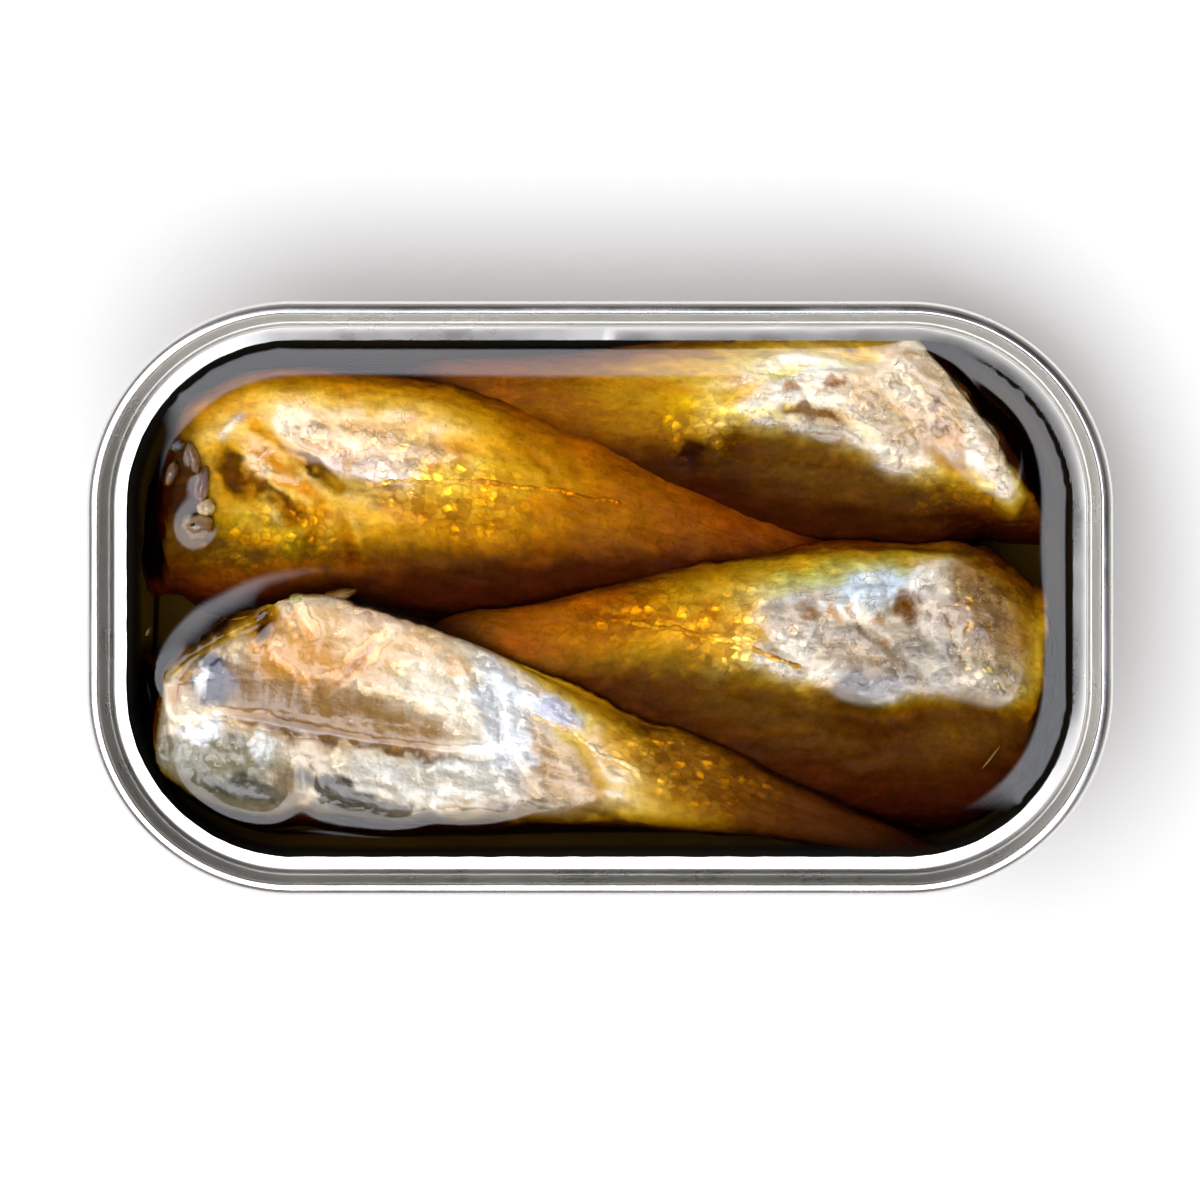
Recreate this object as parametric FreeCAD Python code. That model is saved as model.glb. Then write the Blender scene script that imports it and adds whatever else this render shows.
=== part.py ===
"""Opened tin of horse mackerel in oil.

A shallow drawn tin with a double-seamed rim.  The lid has been pulled off, which
leaves the seamed ring with its narrow ledge.  Four headed fish lie head to tail in
one layer, in oil that covers all but their backs.

Frame: origin at the centre of the base, +X along the tin, +Z up.  Millimetres.
"""

import FreeCAD
import Part

import math
import os
from collections import namedtuple

from FreeCAD import Vector

# Tin, outside of the seam
TIN_LENGTH = 104.0
TIN_WIDTH = 60.2
TIN_HEIGHT = 22.0
CORNER_RADIUS = 20.9

# Sheet metal
SHEET = 0.26  # both the body and the lid
SEAM_HEIGHT = 2.9
HOOK_END_GAP = 0.5  # from a hook's end to the fold that it points at
WALL_DRAFT = 0.6  # the wall leans in by this much on its way down

# Base of the tin: a foot ring round a raised panel
BASE_RADIUS = 1.8
FOOT_WIDTH = 3.4
PANEL_RISE = 0.8
STEP_RUN = 0.7  # the step's slope, measured across the panel
STEP_RADIUS = 0.5

# What the pulled lid leaves behind
COUNTERSINK_DEPTH = 4.4  # seam top to the underside of the groove
COUNTERSINK_WIDTH = 0.45
COUNTERSINK_RADIUS = 0.3
CHUCK_LEAN = 0.60
LEDGE_DEPTH = 3.7  # seam top to the middle of the ledge's sheet
LEDGE_RISE_RUN = 0.2
OPENING_INSET = 3.78  # seam's outside to the torn edge of the ledge

# Contents
OIL_DEPTH = 5.2  # seam top to the oil
RING_CLEARANCE = 0.15  # between a fish and the torn edge
FISH_SINK_IN = 0.4  # a belly is this much flattened on the tin's floor

# A fish, from its cut neck to its tail.  Places in the tin are shares of the inside's
# half length and half width, because the packer trims the fish to the tin.  Heights are
# in millimetres from the oil.  A fin is laid along the flank from its root to its tip.
Fish = namedtuple(
    "Fish",
    "name neck bend tail half_width taper_start crest tail_crest tail_height lean fullness"
    " neck_cut fin",
)
FISH = [
    Fish(
        name="fish_lower_left",
        neck=(-0.865, -0.375),
        bend=(-0.24, -0.385),
        tail=(0.70, -0.945),
        half_width=0.390,
        taper_start=0.20,
        crest=1.30,
        tail_crest=-3.4,
        tail_height=5.0,
        lean=0.12,
        fullness=5.0,
        neck_cut=(-8.0, 18.0),
        fin=((-0.76, -0.18), (-0.24, -0.50)),
    ),
    Fish(
        name="fish_lower_right",
        neck=(0.870, -0.330),
        bend=(0.30, -0.325),
        tail=(-0.34, -0.140),
        half_width=0.480,
        taper_start=0.27,
        crest=0.50,
        tail_crest=-3.6,
        tail_height=5.0,
        lean=0.36,
        fullness=2.5,
        neck_cut=(-6.0, 14.0),
        fin=None,
    ),
    Fish(
        name="fish_upper_left",
        neck=(-0.850, 0.345),
        bend=(-0.19, 0.340),
        tail=(0.51, 0.090),
        half_width=0.430,
        taper_start=0.26,
        crest=-0.10,
        tail_crest=-5.2,
        tail_height=4.6,
        lean=0.36,
        fullness=2.5,
        neck_cut=(-6.0, 16.0),
        fin=((-0.72, 0.52), (-0.50, 0.20)),
    ),
    Fish(
        name="fish_upper_right",
        neck=(0.790, 0.500),
        bend=(0.25, 0.570),
        tail=(-0.40, 0.790),
        half_width=0.395,
        taper_start=0.27,
        crest=0.45,
        tail_crest=-4.6,
        tail_height=4.6,
        lean=0.30,
        fullness=2.6,
        neck_cut=(38.0, 20.0),
        fin=None,
    ),
]

# Form that all four fish share.  Places along a fish are shares of its length.
NECK_START = -0.12  # a fish is made this much too long, then its neck is cut
BLUNT_LENGTH = 0.16  # the neck swells to full girth over this length
NECK_GIRTH = 0.70  # girth at the cut, as a share of the fullest
TAPER_LENGTH = 0.85
TAIL_GIRTH = 0.14
NECK_DROOP = 0.30  # how much of a narrower neck is lost from the back and the belly
DIP_START = 0.30  # where the back starts to dip below the oil
DIP_POWER = 1.5
FIN_WIDTH = 5.0
FIN_DEPTH = 2.4
FIN_RISE = 0.25  # a fin's ridge above the fish's back
STATIONS = 11
SECTION_POINTS = 20

# Heights that follow from the sizes above
OIL_LEVEL = TIN_HEIGHT - OIL_DEPTH
SEAM_BOTTOM = TIN_HEIGHT - SEAM_HEIGHT
COUNTERSINK_BOTTOM = TIN_HEIGHT - COUNTERSINK_DEPTH
LEDGE_LEVEL = TIN_HEIGHT - LEDGE_DEPTH
PANEL_LEVEL = SHEET / 2 + PANEL_RISE
FLOOR = PANEL_LEVEL + SHEET / 2
FOOT_START = 3.5 * SHEET + WALL_DRAFT
INSIDE_HALF_LENGTH = TIN_LENGTH / 2 - 4 * SHEET
INSIDE_HALF_WIDTH = TIN_WIDTH / 2 - 4 * SHEET


# --- sheet-metal sections -------------------------------------------------------
# A section is drawn in (inset, z): inset runs inwards from the seam's outside face.


def seam_layer(number):
    """Inset of the middle of one of the seam's five layers, counted from outside."""
    return (number + 0.5) * SHEET


def unit(a, b):
    """Unit vector from a to b."""
    length = math.hypot(b[0] - a[0], b[1] - a[1])
    return (b[0] - a[0]) / length, (b[1] - a[1]) / length


def offset_corners(corners, distance):
    """Corners of a line moved sideways, to its left where distance is positive.

    Each corner is (inset, z, radius); its radius grows or shrinks with the move.
    """
    moved = []
    for i, (x, z, radius) in enumerate(corners):
        before = unit(corners[i - 1], corners[i]) if i > 0 else None
        after = unit(corners[i], corners[i + 1]) if i < len(corners) - 1 else None
        before, after = before or after, after or before
        turn = before[0] * after[1] - before[1] * after[0]
        cosine = before[0] * after[0] + before[1] * after[1]
        normal = (-before[1] - after[1], before[0] + after[0])
        scale = distance / (1 + cosine)
        change = -distance if turn > 0 else distance
        moved.append(
            (x + normal[0] * scale, z + normal[1] * scale, radius + change if radius else 0)
        )
    return moved


def rounded_line(corners):
    """Edges of a line through the corners, each rounded by its own radius."""
    edges = []
    here = Vector(corners[0][0], 0, corners[0][1])
    for i in range(1, len(corners) - 1):
        x, z, radius = corners[i]
        before, after = unit(corners[i - 1], corners[i]), unit(corners[i], corners[i + 1])
        cosine = before[0] * after[0] + before[1] * after[1]
        turn = math.acos(max(-1.0, min(1.0, cosine)))
        cut = radius * math.tan(turn / 2)
        start = Vector(x - before[0] * cut, 0, z - before[1] * cut)
        end = Vector(x + after[0] * cut, 0, z + after[1] * cut)
        corner = Vector(x, 0, z)
        middle_way = (start + end) * 0.5 - corner
        middle_way.normalize()
        middle = corner + middle_way * (radius / math.cos(turn / 2) - radius)
        if (start - here).Length > 1e-6:
            edges.append(Part.LineSegment(here, start).toShape())
        edges.append(Part.Arc(start, middle, end).toShape())
        here = end
    last = Vector(corners[-1][0], 0, corners[-1][1])
    if (last - here).Length > 1e-6:
        edges.append(Part.LineSegment(here, last).toShape())
    return edges


def sheet_section(corners):
    """Face of a bent sheet whose middle runs through the corners."""
    left = rounded_line(offset_corners(corners, SHEET / 2))
    right = rounded_line(offset_corners(corners, -SHEET / 2))
    ends = [
        Part.LineSegment(left[0].firstVertex().Point, right[0].firstVertex().Point).toShape(),
        Part.LineSegment(left[-1].lastVertex().Point, right[-1].lastVertex().Point).toShape(),
    ]
    return Part.Face(Part.Wire(Part.__sortEdges__(left + right + ends)))


def body_corners():
    """Middle of the body's sheet: hook, wall, foot ring and base panel."""
    top = TIN_HEIGHT - 1.5 * SHEET
    foot = FOOT_START + FOOT_WIDTH
    low = SHEET / 2
    return [
        (seam_layer(1), SEAM_BOTTOM + SHEET + HOOK_END_GAP, 0),
        (seam_layer(1), top, SHEET),
        (seam_layer(3), top, SHEET),
        (seam_layer(3), SEAM_BOTTOM - SHEET, BASE_RADIUS),
        (FOOT_START, low, BASE_RADIUS),
        (foot, low, STEP_RADIUS),
        (foot + STEP_RUN, PANEL_LEVEL, STEP_RADIUS),
        (CORNER_RADIUS, PANEL_LEVEL, 0),
    ]


def ring_corners():
    """Middle of the lid's sheet: hook, bead over the seam, groove and torn ledge."""
    top = TIN_HEIGHT - SHEET / 2
    low = SEAM_BOTTOM + SHEET / 2
    chuck = seam_layer(4)
    groove = chuck + CHUCK_LEAN
    groove_low = COUNTERSINK_BOTTOM + SHEET / 2
    return [
        (seam_layer(2), TIN_HEIGHT - 2 * SHEET - HOOK_END_GAP, 0),
        (seam_layer(2), low, SHEET),
        (seam_layer(0), low, SHEET),
        (seam_layer(0), top, 2 * SHEET),
        (chuck, top, 2 * SHEET),
        (chuck, SEAM_BOTTOM, COUNTERSINK_RADIUS),
        (groove, groove_low, COUNTERSINK_RADIUS),
        (groove + COUNTERSINK_WIDTH, groove_low, COUNTERSINK_RADIUS),
        (groove + COUNTERSINK_WIDTH + LEDGE_RISE_RUN, LEDGE_LEVEL, COUNTERSINK_RADIUS),
        (OPENING_INSET, LEDGE_LEVEL, 0),
    ]


# --- shapes that follow the tin's rounded rectangle ------------------------------


def around_the_tin(section):
    """Carries a section round the tin: along four sides and about four corners."""
    straight_x = TIN_LENGTH - 2 * CORNER_RADIUS
    straight_y = TIN_WIDTH - 2 * CORNER_RADIUS
    mirror = section.mirror(Vector(), Vector(1, 0, 0))
    mirror.translate(Vector(CORNER_RADIUS, 0, 0))  # x is now the distance from the corner's axis
    quarter = mirror.revolve(Vector(), Vector(0, 0, 1), 90)
    corners, sides = [], []
    for number in range(4):
        sign_x = 1 if number in (0, 3) else -1
        sign_y = 1 if number in (0, 1) else -1
        corner = quarter.copy()
        corner.rotate(Vector(), Vector(0, 0, 1), 90 * number)
        corner.translate(Vector(sign_x * straight_x / 2, sign_y * straight_y / 2, 0))
        corners.append(corner)
        along_x = number % 2 == 1
        run = straight_x if along_x else straight_y
        half = (straight_y if along_x else straight_x) / 2
        side = mirror.extrude(Vector(0, run, 0))
        side.translate(Vector(half, -run / 2, 0))
        side.rotate(Vector(), Vector(0, 0, 1), 90 * number)
        sides.append(side)
    return corners[0].multiFuse(corners[1:] + sides)


def slab(low, high):
    """The rectangle between the four corner axes, from one height to another."""
    straight_x = TIN_LENGTH - 2 * CORNER_RADIUS
    straight_y = TIN_WIDTH - 2 * CORNER_RADIUS
    at = Vector(-straight_x / 2, -straight_y / 2, low)
    return Part.makeBox(straight_x, straight_y, high - low, at)


def rounded_block(inset, low, high):
    """A block with the tin's outline, moved in by inset."""
    section = Part.makePlane(
        CORNER_RADIUS - inset, high - low, Vector(inset, 0, low), Vector(0, -1, 0), Vector(1, 0, 0)
    )
    return around_the_tin(section).fuse(slab(low, high)).removeSplitter()


def make_body():
    """The drawn tin: wall, base and the hook that the lid is seamed to."""
    low, high = PANEL_LEVEL - SHEET / 2, PANEL_LEVEL + SHEET / 2
    shell = around_the_tin(sheet_section(body_corners()))
    return shell.fuse(slab(low, high)).removeSplitter()


def make_ring():
    """What stays of the lid: the seam's outer roll, the groove and the ledge."""
    return around_the_tin(sheet_section(ring_corners())).removeSplitter()


def make_inside():
    """The room inside the tin's wall and base, up to the oil."""
    corners = offset_corners(body_corners(), SHEET / 2)[3:]
    wall_top, wall_low = corners[0], corners[1]
    rise = (OIL_LEVEL - wall_low[1]) / (wall_top[1] - wall_low[1])
    at_oil = wall_low[0] + (wall_top[0] - wall_low[0]) * rise
    line = rounded_line([(at_oil, OIL_LEVEL, 0)] + corners[1:])
    first, last = line[0].firstVertex().Point, line[-1].lastVertex().Point
    axis_top = Vector(CORNER_RADIUS, 0, OIL_LEVEL)
    closing = [
        Part.LineSegment(last, axis_top).toShape(),
        Part.LineSegment(axis_top, first).toShape(),
    ]
    section = Part.Face(Part.Wire(Part.__sortEdges__(line + closing)))
    return around_the_tin(section).fuse(slab(FLOOR, OIL_LEVEL)).removeSplitter()


# --- contents -------------------------------------------------------------------


def place(share):
    """A point in plan from shares of the inside's half length and half width."""
    return Vector(share[0] * INSIDE_HALF_LENGTH, share[1] * INSIDE_HALF_WIDTH, 0)


def spine_point(fish, t):
    """Point and direction of the backbone in plan, t from 0 at the neck to 1 at the tail."""
    neck, bend, tail = place(fish.neck), place(fish.bend), place(fish.tail)
    point = neck * (1 - t) ** 2 + bend * (2 * t * (1 - t)) + tail * t**2
    direction = (bend - neck) * (1 - t) + (tail - bend) * t
    direction.normalize()
    return point, direction


def girth(fish, t):
    """Share of the fullest girth: blunt at the neck, then a long taper to the tail."""
    blunt = min(1.0, max(0.0, 1 - t / BLUNT_LENGTH))
    neck = 1 - (1 - NECK_GIRTH) * blunt**2
    run = min(1.0, max(0.0, (t - fish.taper_start) / TAPER_LENGTH))
    return neck * (TAIL_GIRTH + (1 - TAIL_GIRTH) * (1 + math.cos(math.pi * run)) / 2)


def heights(fish, t):
    """Height of the back and of the belly at t."""
    dip = max(0.0, (t - DIP_START) / (1 - DIP_START)) ** DIP_POWER
    back = OIL_LEVEL + fish.crest + (fish.tail_crest - fish.crest) * dip
    full_belly = FLOOR - FISH_SINK_IN
    tail_belly = OIL_LEVEL + fish.tail_crest - fish.tail_height
    belly = full_belly + (tail_belly - full_belly) * dip
    droop = NECK_DROOP * (1 - girth(fish, t)) * (back - belly) if t < BLUNT_LENGTH else 0.0
    return back - droop, belly + droop


def section_wire(fish, t):
    """Closed outline of the fish across its backbone at t: a leaning superellipse."""
    point, direction = spine_point(fish, t)
    across = Vector(-direction.y, direction.x, 0)
    if across.y < 0:
        across = across * -1
    back, belly = heights(fish, t)
    middle, half_height = (back + belly) / 2, (back - belly) / 2
    half_width = fish.half_width * INSIDE_HALF_WIDTH * girth(fish, t)
    points = []
    for i in range(SECTION_POINTS):
        angle = 2 * math.pi * i / SECTION_POINTS
        cosine, sine = math.cos(angle), math.sin(angle)
        power = 2 / fish.fullness
        out = math.copysign(abs(cosine) ** power, cosine)
        up = math.copysign(abs(sine) ** power, sine)
        out += fish.lean * up
        points.append(point + across * (out * half_width) + Vector(0, 0, middle + up * half_height))
    curve = Part.BSplineCurve()
    curve.interpolate(points, PeriodicFlag=True)
    return Part.Wire(curve.toShape())


def neck_knife(fish):
    """The block in front of the cut that took the head off.

    neck_cut gives the cut's turn in plan and its slope outwards as it goes down.
    """
    point, direction = spine_point(fish, 0)
    turn, slope = fish.neck_cut
    size = TIN_LENGTH
    knife = Part.makeBox(size, 2 * size, 2 * size, Vector(-size, -size, -size))
    heading = math.degrees(math.atan2(direction.y, direction.x))
    knife.rotate(Vector(), Vector(0, 1, 0), slope)
    knife.rotate(Vector(), Vector(0, 0, 1), heading + turn)
    knife.translate(Vector(point.x, point.y, OIL_LEVEL))
    return knife


def make_fin(fish):
    """The pectoral fin, a long leaf pressed flat on the flank."""
    root, tip = place(fish.fin[0]), place(fish.fin[1])
    run = tip - root
    size = FreeCAD.Matrix()
    size.scale(run.Length / 2, FIN_WIDTH / 2, FIN_DEPTH / 2)
    fin = Part.makeSphere(1).transformGeometry(size)
    fin.rotate(Vector(), Vector(0, 0, 1), math.degrees(math.atan2(run.y, run.x)))
    middle = (root + tip) * 0.5
    top = OIL_LEVEL + fish.crest + FIN_RISE
    fin.translate(Vector(middle.x, middle.y, top - FIN_DEPTH / 2))
    return fin


def whole_fish(fish):
    """One fish as if it lay alone."""
    step = (1 - NECK_START) / (STATIONS - 1)
    wires = [section_wire(fish, NECK_START + i * step) for i in range(STATIONS)]
    solid = Part.makeLoft(wires, True, False).cut(neck_knife(fish))
    return solid.fuse(make_fin(fish)) if fish.fin else solid


def make_contents():
    """The fish, each cut where a fish above presses on it, and the oil round them."""
    inside = make_inside()
    opening = rounded_block(OPENING_INSET + RING_CLEARANCE, OIL_LEVEL - 1, TIN_HEIGHT)
    room = inside.fuse(opening)
    made = {}
    for fish in FISH:
        solid = whole_fish(fish).common(room)
        for above in made.values():
            solid = solid.cut(above)
        made[fish.name] = max(solid.Solids, key=lambda s: s.Volume)
    oil = inside
    for solid in made.values():
        oil = oil.cut(solid)
    made["oil"] = oil
    return made


def main():
    os.makedirs("parts", exist_ok=True)
    nodes = {"tin_body": make_body(), "lid_ring": make_ring()}
    nodes.update(make_contents())
    for name, shape in nodes.items():
        print(name, shape.ShapeType, len(shape.Solids), shape.isValid(), round(shape.Volume, 1))
        shape.exportStep(f"parts/{name}.step")


main()
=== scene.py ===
"""Looks of the opened tin of horse mackerel.

All shapes are worked out in millimetres, with the origin at the centre of the base, +X
along the tin and +Z up, and become metres when a mesh is made.
"""

import math
from collections import namedtuple

import bpy
import numpy as np
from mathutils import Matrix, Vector
from mathutils.bvhtree import BVHTree


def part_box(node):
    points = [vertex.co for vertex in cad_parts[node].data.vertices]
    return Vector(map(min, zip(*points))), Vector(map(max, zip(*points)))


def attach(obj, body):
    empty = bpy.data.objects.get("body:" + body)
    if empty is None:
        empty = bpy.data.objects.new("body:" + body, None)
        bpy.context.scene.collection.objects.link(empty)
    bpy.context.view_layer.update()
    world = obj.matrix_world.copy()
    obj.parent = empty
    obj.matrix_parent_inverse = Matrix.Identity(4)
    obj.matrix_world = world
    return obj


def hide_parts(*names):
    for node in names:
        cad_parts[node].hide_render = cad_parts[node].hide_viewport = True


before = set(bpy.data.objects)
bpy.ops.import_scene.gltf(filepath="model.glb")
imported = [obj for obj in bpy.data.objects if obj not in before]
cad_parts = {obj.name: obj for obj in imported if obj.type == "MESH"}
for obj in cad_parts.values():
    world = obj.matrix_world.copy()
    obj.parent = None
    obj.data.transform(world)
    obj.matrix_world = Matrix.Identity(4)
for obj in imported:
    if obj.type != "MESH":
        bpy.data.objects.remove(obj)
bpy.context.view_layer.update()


# --- Lid ring ---------------------------------------------------------------------
# What a pull-off lid leaves on the tin: the rolled double seam, the groove that the
# seaming chuck ran in, and a narrow ledge whose torn edge is a little wavy and burred.

RING_LOW, RING_HIGH = (corner * 1000 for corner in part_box("lid_ring"))
TIN_LENGTH = RING_HIGH.x - RING_LOW.x
TIN_WIDTH = RING_HIGH.y - RING_LOW.y
TIN_HEIGHT = RING_HIGH.z
CORNER_RADIUS = 20.9
SHEET = 0.26
SEAM_HEIGHT = 2.9
SEAM_BOTTOM = TIN_HEIGHT - SEAM_HEIGHT
HOOK_END_GAP = 0.5
COUNTERSINK_DEPTH = 4.4
COUNTERSINK_WIDTH = 0.45
COUNTERSINK_RADIUS = 0.3
CHUCK_LEAN = 0.60
LEDGE_DEPTH = 3.7
LEDGE_RISE_RUN = 0.2
BEAD_OUTER_RADIUS = 0.78
BEAD_INNER_RADIUS = 0.13
BEAD_SLOPE = 0.10  # the bead is highest beside the chuck wall
OPENING_INSET = 3.78
SMOOTH_ANGLE = 50  # degrees between two faces, above which their edge is sharp

LEDGE_BEND = 1.3  # how far from its edge the ledge was pulled up as the lid tore off
LEDGE_TILT = 0.16
LEDGE_WAVE = 0.05
LEDGE_WAVE_LENGTH = 14
TORN_EDGE_WAVE = 0.05
TORN_EDGE_WAVE_LENGTH = 3
TEAR_START_X = 1.0  # the tear began at the middle of the far side
TEAR_STEP = 0.16
TEAR_STEP_RUN = 0.5
TEAR_FADE = 12


def fractal(x, y, size, octaves=4, seed=0):
    """Smooth random relief between about -1 and 1 whose largest features are size wide."""
    x, y = np.asarray(x, dtype=float) / size, np.asarray(y, dtype=float) / size
    total, weight, sum_of_weights = 0.0, 1.0, 0.0
    for octave in range(octaves):
        angles = np.random.default_rng(seed * 31 + octave).uniform(0, 2 * np.pi, (256, 256))
        i, j = np.floor(x).astype(int), np.floor(y).astype(int)
        corners = []
        for a, b in ((0, 0), (1, 0), (0, 1), (1, 1)):
            angle = angles[(i + a) % 256, (j + b) % 256]
            corners.append(np.cos(angle) * (x - i - a) + np.sin(angle) * (y - j - b))
        fx, fy = x - i, y - j
        fx, fy = fx**3 * (fx * (fx * 6 - 15) + 10), fy**3 * (fy * (fy * 6 - 15) + 10)
        near = corners[0] * (1 - fx) + corners[1] * fx
        far = corners[2] * (1 - fx) + corners[3] * fx
        total = total + weight * (near * (1 - fy) + far * fy)
        sum_of_weights += weight
        weight *= 0.5
        x, y = 1.6 * x - 1.2 * y + 7.3, 1.2 * x + 1.6 * y + 3.1  # turned and twice as fine
    return total / sum_of_weights * 2.6


def smooth_step(low, high, value):
    """0 below low, 1 above high, and a smooth rise between."""
    share = np.clip((np.asarray(value) - low) / (high - low), 0, 1)
    return share * share * (3 - 2 * share)


def seam_layer(number):
    """Inset of the middle of one of the seam's five layers, counted from outside."""
    return (number + 0.5) * SHEET


def unit(a, b):
    """Direction from one point to another, one millimetre long."""
    length = math.hypot(b[0] - a[0], b[1] - a[1])
    return (b[0] - a[0]) / length, (b[1] - a[1]) / length


def sheet_outline(corners, steps=7):
    """The two sides of a bent sheet as lists of (inset, z), each corner rounded."""
    sides = []
    for distance in (SHEET / 2, -SHEET / 2):
        line = []
        for i, (x, z, radius) in enumerate(corners):
            before = unit(corners[i - 1], corners[i]) if i > 0 else None
            after = unit(corners[i], corners[i + 1]) if i < len(corners) - 1 else None
            before, after = before or after, after or before
            turn = math.atan2(
                before[0] * after[1] - before[1] * after[0],
                before[0] * after[0] + before[1] * after[1],
            )
            scale = distance / (1 + math.cos(turn))
            corner = (
                x - (before[1] + after[1]) * scale,
                z + (before[0] + after[0]) * scale,
            )
            if radius == 0:
                line.append(corner)
                continue
            side = math.copysign(1, turn)
            radius -= distance * side
            cut = radius * math.tan(abs(turn) / 2)
            start = (corner[0] - before[0] * cut, corner[1] - before[1] * cut)
            centre = (start[0] - before[1] * radius * side, start[1] + before[0] * radius * side)
            for step in range(steps + 1):
                angle = math.atan2(start[1] - centre[1], start[0] - centre[0])
                angle += turn * step / steps
                point = (
                    centre[0] + radius * math.cos(angle),
                    centre[1] + radius * math.sin(angle),
                )
                line.append(point)
        sides.append(line)
    return sides


def round_the_tin(corner_steps=40, side_steps=(104, 40)):
    """Points of the seam's outside, counter-clockwise, with the normals that face in."""
    points, normals = [], []
    half = (TIN_LENGTH / 2 - CORNER_RADIUS, TIN_WIDTH / 2 - CORNER_RADIUS)
    for number in range(4):
        sign_x = 1 if number in (0, 3) else -1
        sign_y = 1 if number in (0, 1) else -1
        centre = np.array([sign_x * half[0], sign_y * half[1]])
        for step in range(corner_steps + 1):
            angle = math.pi / 2 * (number + step / corner_steps)
            out = np.array([math.cos(angle), math.sin(angle)])
            points.append(centre + CORNER_RADIUS * out)
            normals.append(-out)
        steps = side_steps[number % 2]
        run = 2 * half[number % 2]
        along = np.array([-math.sin(angle), math.cos(angle)])
        start = points[-1]
        for step in range(1, steps):
            points.append(start + along * run * step / steps)
            normals.append(-out)
    return np.array(points), np.array(normals)


RIM_POINTS, RIM_NORMALS = round_the_tin()
RIM_RUN = np.cumsum(np.linalg.norm(np.diff(RIM_POINTS, axis=0, prepend=RIM_POINTS[-1:]), axis=1))


def outwards_volume(mesh):
    """The volume that the faces enclose, negative if they face inwards."""
    mesh.calc_loop_triangles()
    corners = np.zeros(len(mesh.vertices) * 3)
    mesh.vertices.foreach_get("co", corners)
    triangles = np.zeros(len(mesh.loop_triangles) * 3, dtype=int)
    mesh.loop_triangles.foreach_get("vertices", triangles)
    a, b, c = (corners.reshape(-1, 3)[triangles.reshape(-1, 3)[:, k]] for k in range(3))
    return (a * np.cross(b, c)).sum() / 6


def new_object(name, points, faces, material, smooth=True):
    """A mesh object from points in millimetres, with its faces turned outwards."""
    mesh = bpy.data.meshes.new(name)
    mesh.from_pydata(np.asarray(points) * 0.001, [], [list(map(int, face)) for face in faces])
    mesh.polygons.foreach_set("use_smooth", [smooth] * len(mesh.polygons))
    mesh.materials.append(material)
    if outwards_volume(mesh) < 0:
        mesh.flip_normals()
    if smooth:
        mesh.set_sharp_from_angle(angle=math.radians(SMOOTH_ANGLE))
    thing = bpy.data.objects.new(name, mesh)
    bpy.context.scene.collection.objects.link(thing)
    return thing


def sweep(outline, shift=None):
    """Carries an outline of (inset, z) round the tin; shift may move its points.

    Returns the points, and their numbers at each station round the rim and at the next.
    """
    inset = np.tile([p[0] for p in outline], (len(RIM_POINTS), 1))
    z = np.tile([p[1] for p in outline], (len(RIM_POINTS), 1))
    if shift is not None:
        inset, z = shift(inset, z)
    xy = RIM_POINTS[:, None, :] + RIM_NORMALS[:, None, :] * inset[:, :, None]
    points = np.concatenate([xy, z[:, :, None]], axis=2).reshape(-1, 3)
    here = np.arange(len(points)).reshape(len(RIM_POINTS), len(outline))
    return points, here, np.roll(here, -1, axis=0)


def strip_faces(here, there):
    """Quads between the closed outlines of neighbouring stations."""
    next_here = np.roll(here, -1, axis=1)
    next_there = np.roll(there, -1, axis=1)
    return np.stack([here, there, next_there, next_here], axis=2).reshape(-1, 4)


def ring_corners():
    """Middle of the lid's sheet: hook, bead over the seam, groove and torn ledge."""
    top = TIN_HEIGHT - SHEET / 2
    low = SEAM_BOTTOM + SHEET / 2
    chuck = seam_layer(4)
    groove = chuck + CHUCK_LEAN
    groove_low = TIN_HEIGHT - COUNTERSINK_DEPTH + SHEET / 2
    ledge = TIN_HEIGHT - LEDGE_DEPTH
    return [
        (seam_layer(2), TIN_HEIGHT - 2 * SHEET - HOOK_END_GAP, 0),
        (seam_layer(2), low, SHEET),
        (seam_layer(0), low, SHEET),
        (seam_layer(0), top - BEAD_SLOPE, BEAD_OUTER_RADIUS),
        (chuck, top, BEAD_INNER_RADIUS),
        (chuck, SEAM_BOTTOM, COUNTERSINK_RADIUS),
        (groove, groove_low, COUNTERSINK_RADIUS),
        (groove + COUNTERSINK_WIDTH, groove_low, COUNTERSINK_RADIUS),
        (groove + COUNTERSINK_WIDTH + LEDGE_RISE_RUN, ledge, COUNTERSINK_RADIUS),
        (OPENING_INSET, ledge, 0),
    ]


def tear_shift(inset, z):
    """Waves of the torn ledge, and the step where the tear began."""
    on_ledge = smooth_step(OPENING_INSET - LEDGE_BEND, OPENING_INSET, inset) * (z < SEAM_BOTTOM)
    run = RIM_RUN[:, None]
    wave = fractal(run, 0 * run, LEDGE_WAVE_LENGTH, 3, seed=3)
    edge = fractal(run, 0 * run, TORN_EDGE_WAVE_LENGTH, 3, seed=5)
    x, far_side = RIM_POINTS[:, :1], RIM_POINTS[:, 1:] > TIN_WIDTH / 2 - 1
    past_start = smooth_step(TEAR_START_X - TEAR_STEP_RUN, TEAR_START_X + TEAR_STEP_RUN, x)
    fade = np.exp(-np.abs(x - TEAR_START_X) / TEAR_FADE)
    step = TEAR_STEP * fade * (past_start - 0.5) * far_side
    tilt = LEDGE_TILT * (on_ledge - 0.5) * (on_ledge > 0)
    z = z + tilt + on_ledge * (LEDGE_WAVE * wave + step)
    inset = inset + on_ledge**4 * TORN_EDGE_WAVE * edge
    return inset, z


def fill(node, given):
    """Gives a node's inputs their numbers, or links them to other nodes' outputs."""
    for socket, value in given.items():
        if isinstance(value, bpy.types.NodeSocket):
            node.id_data.links.new(value, node.inputs[socket])
        else:
            node.inputs[socket].default_value = value


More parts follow.
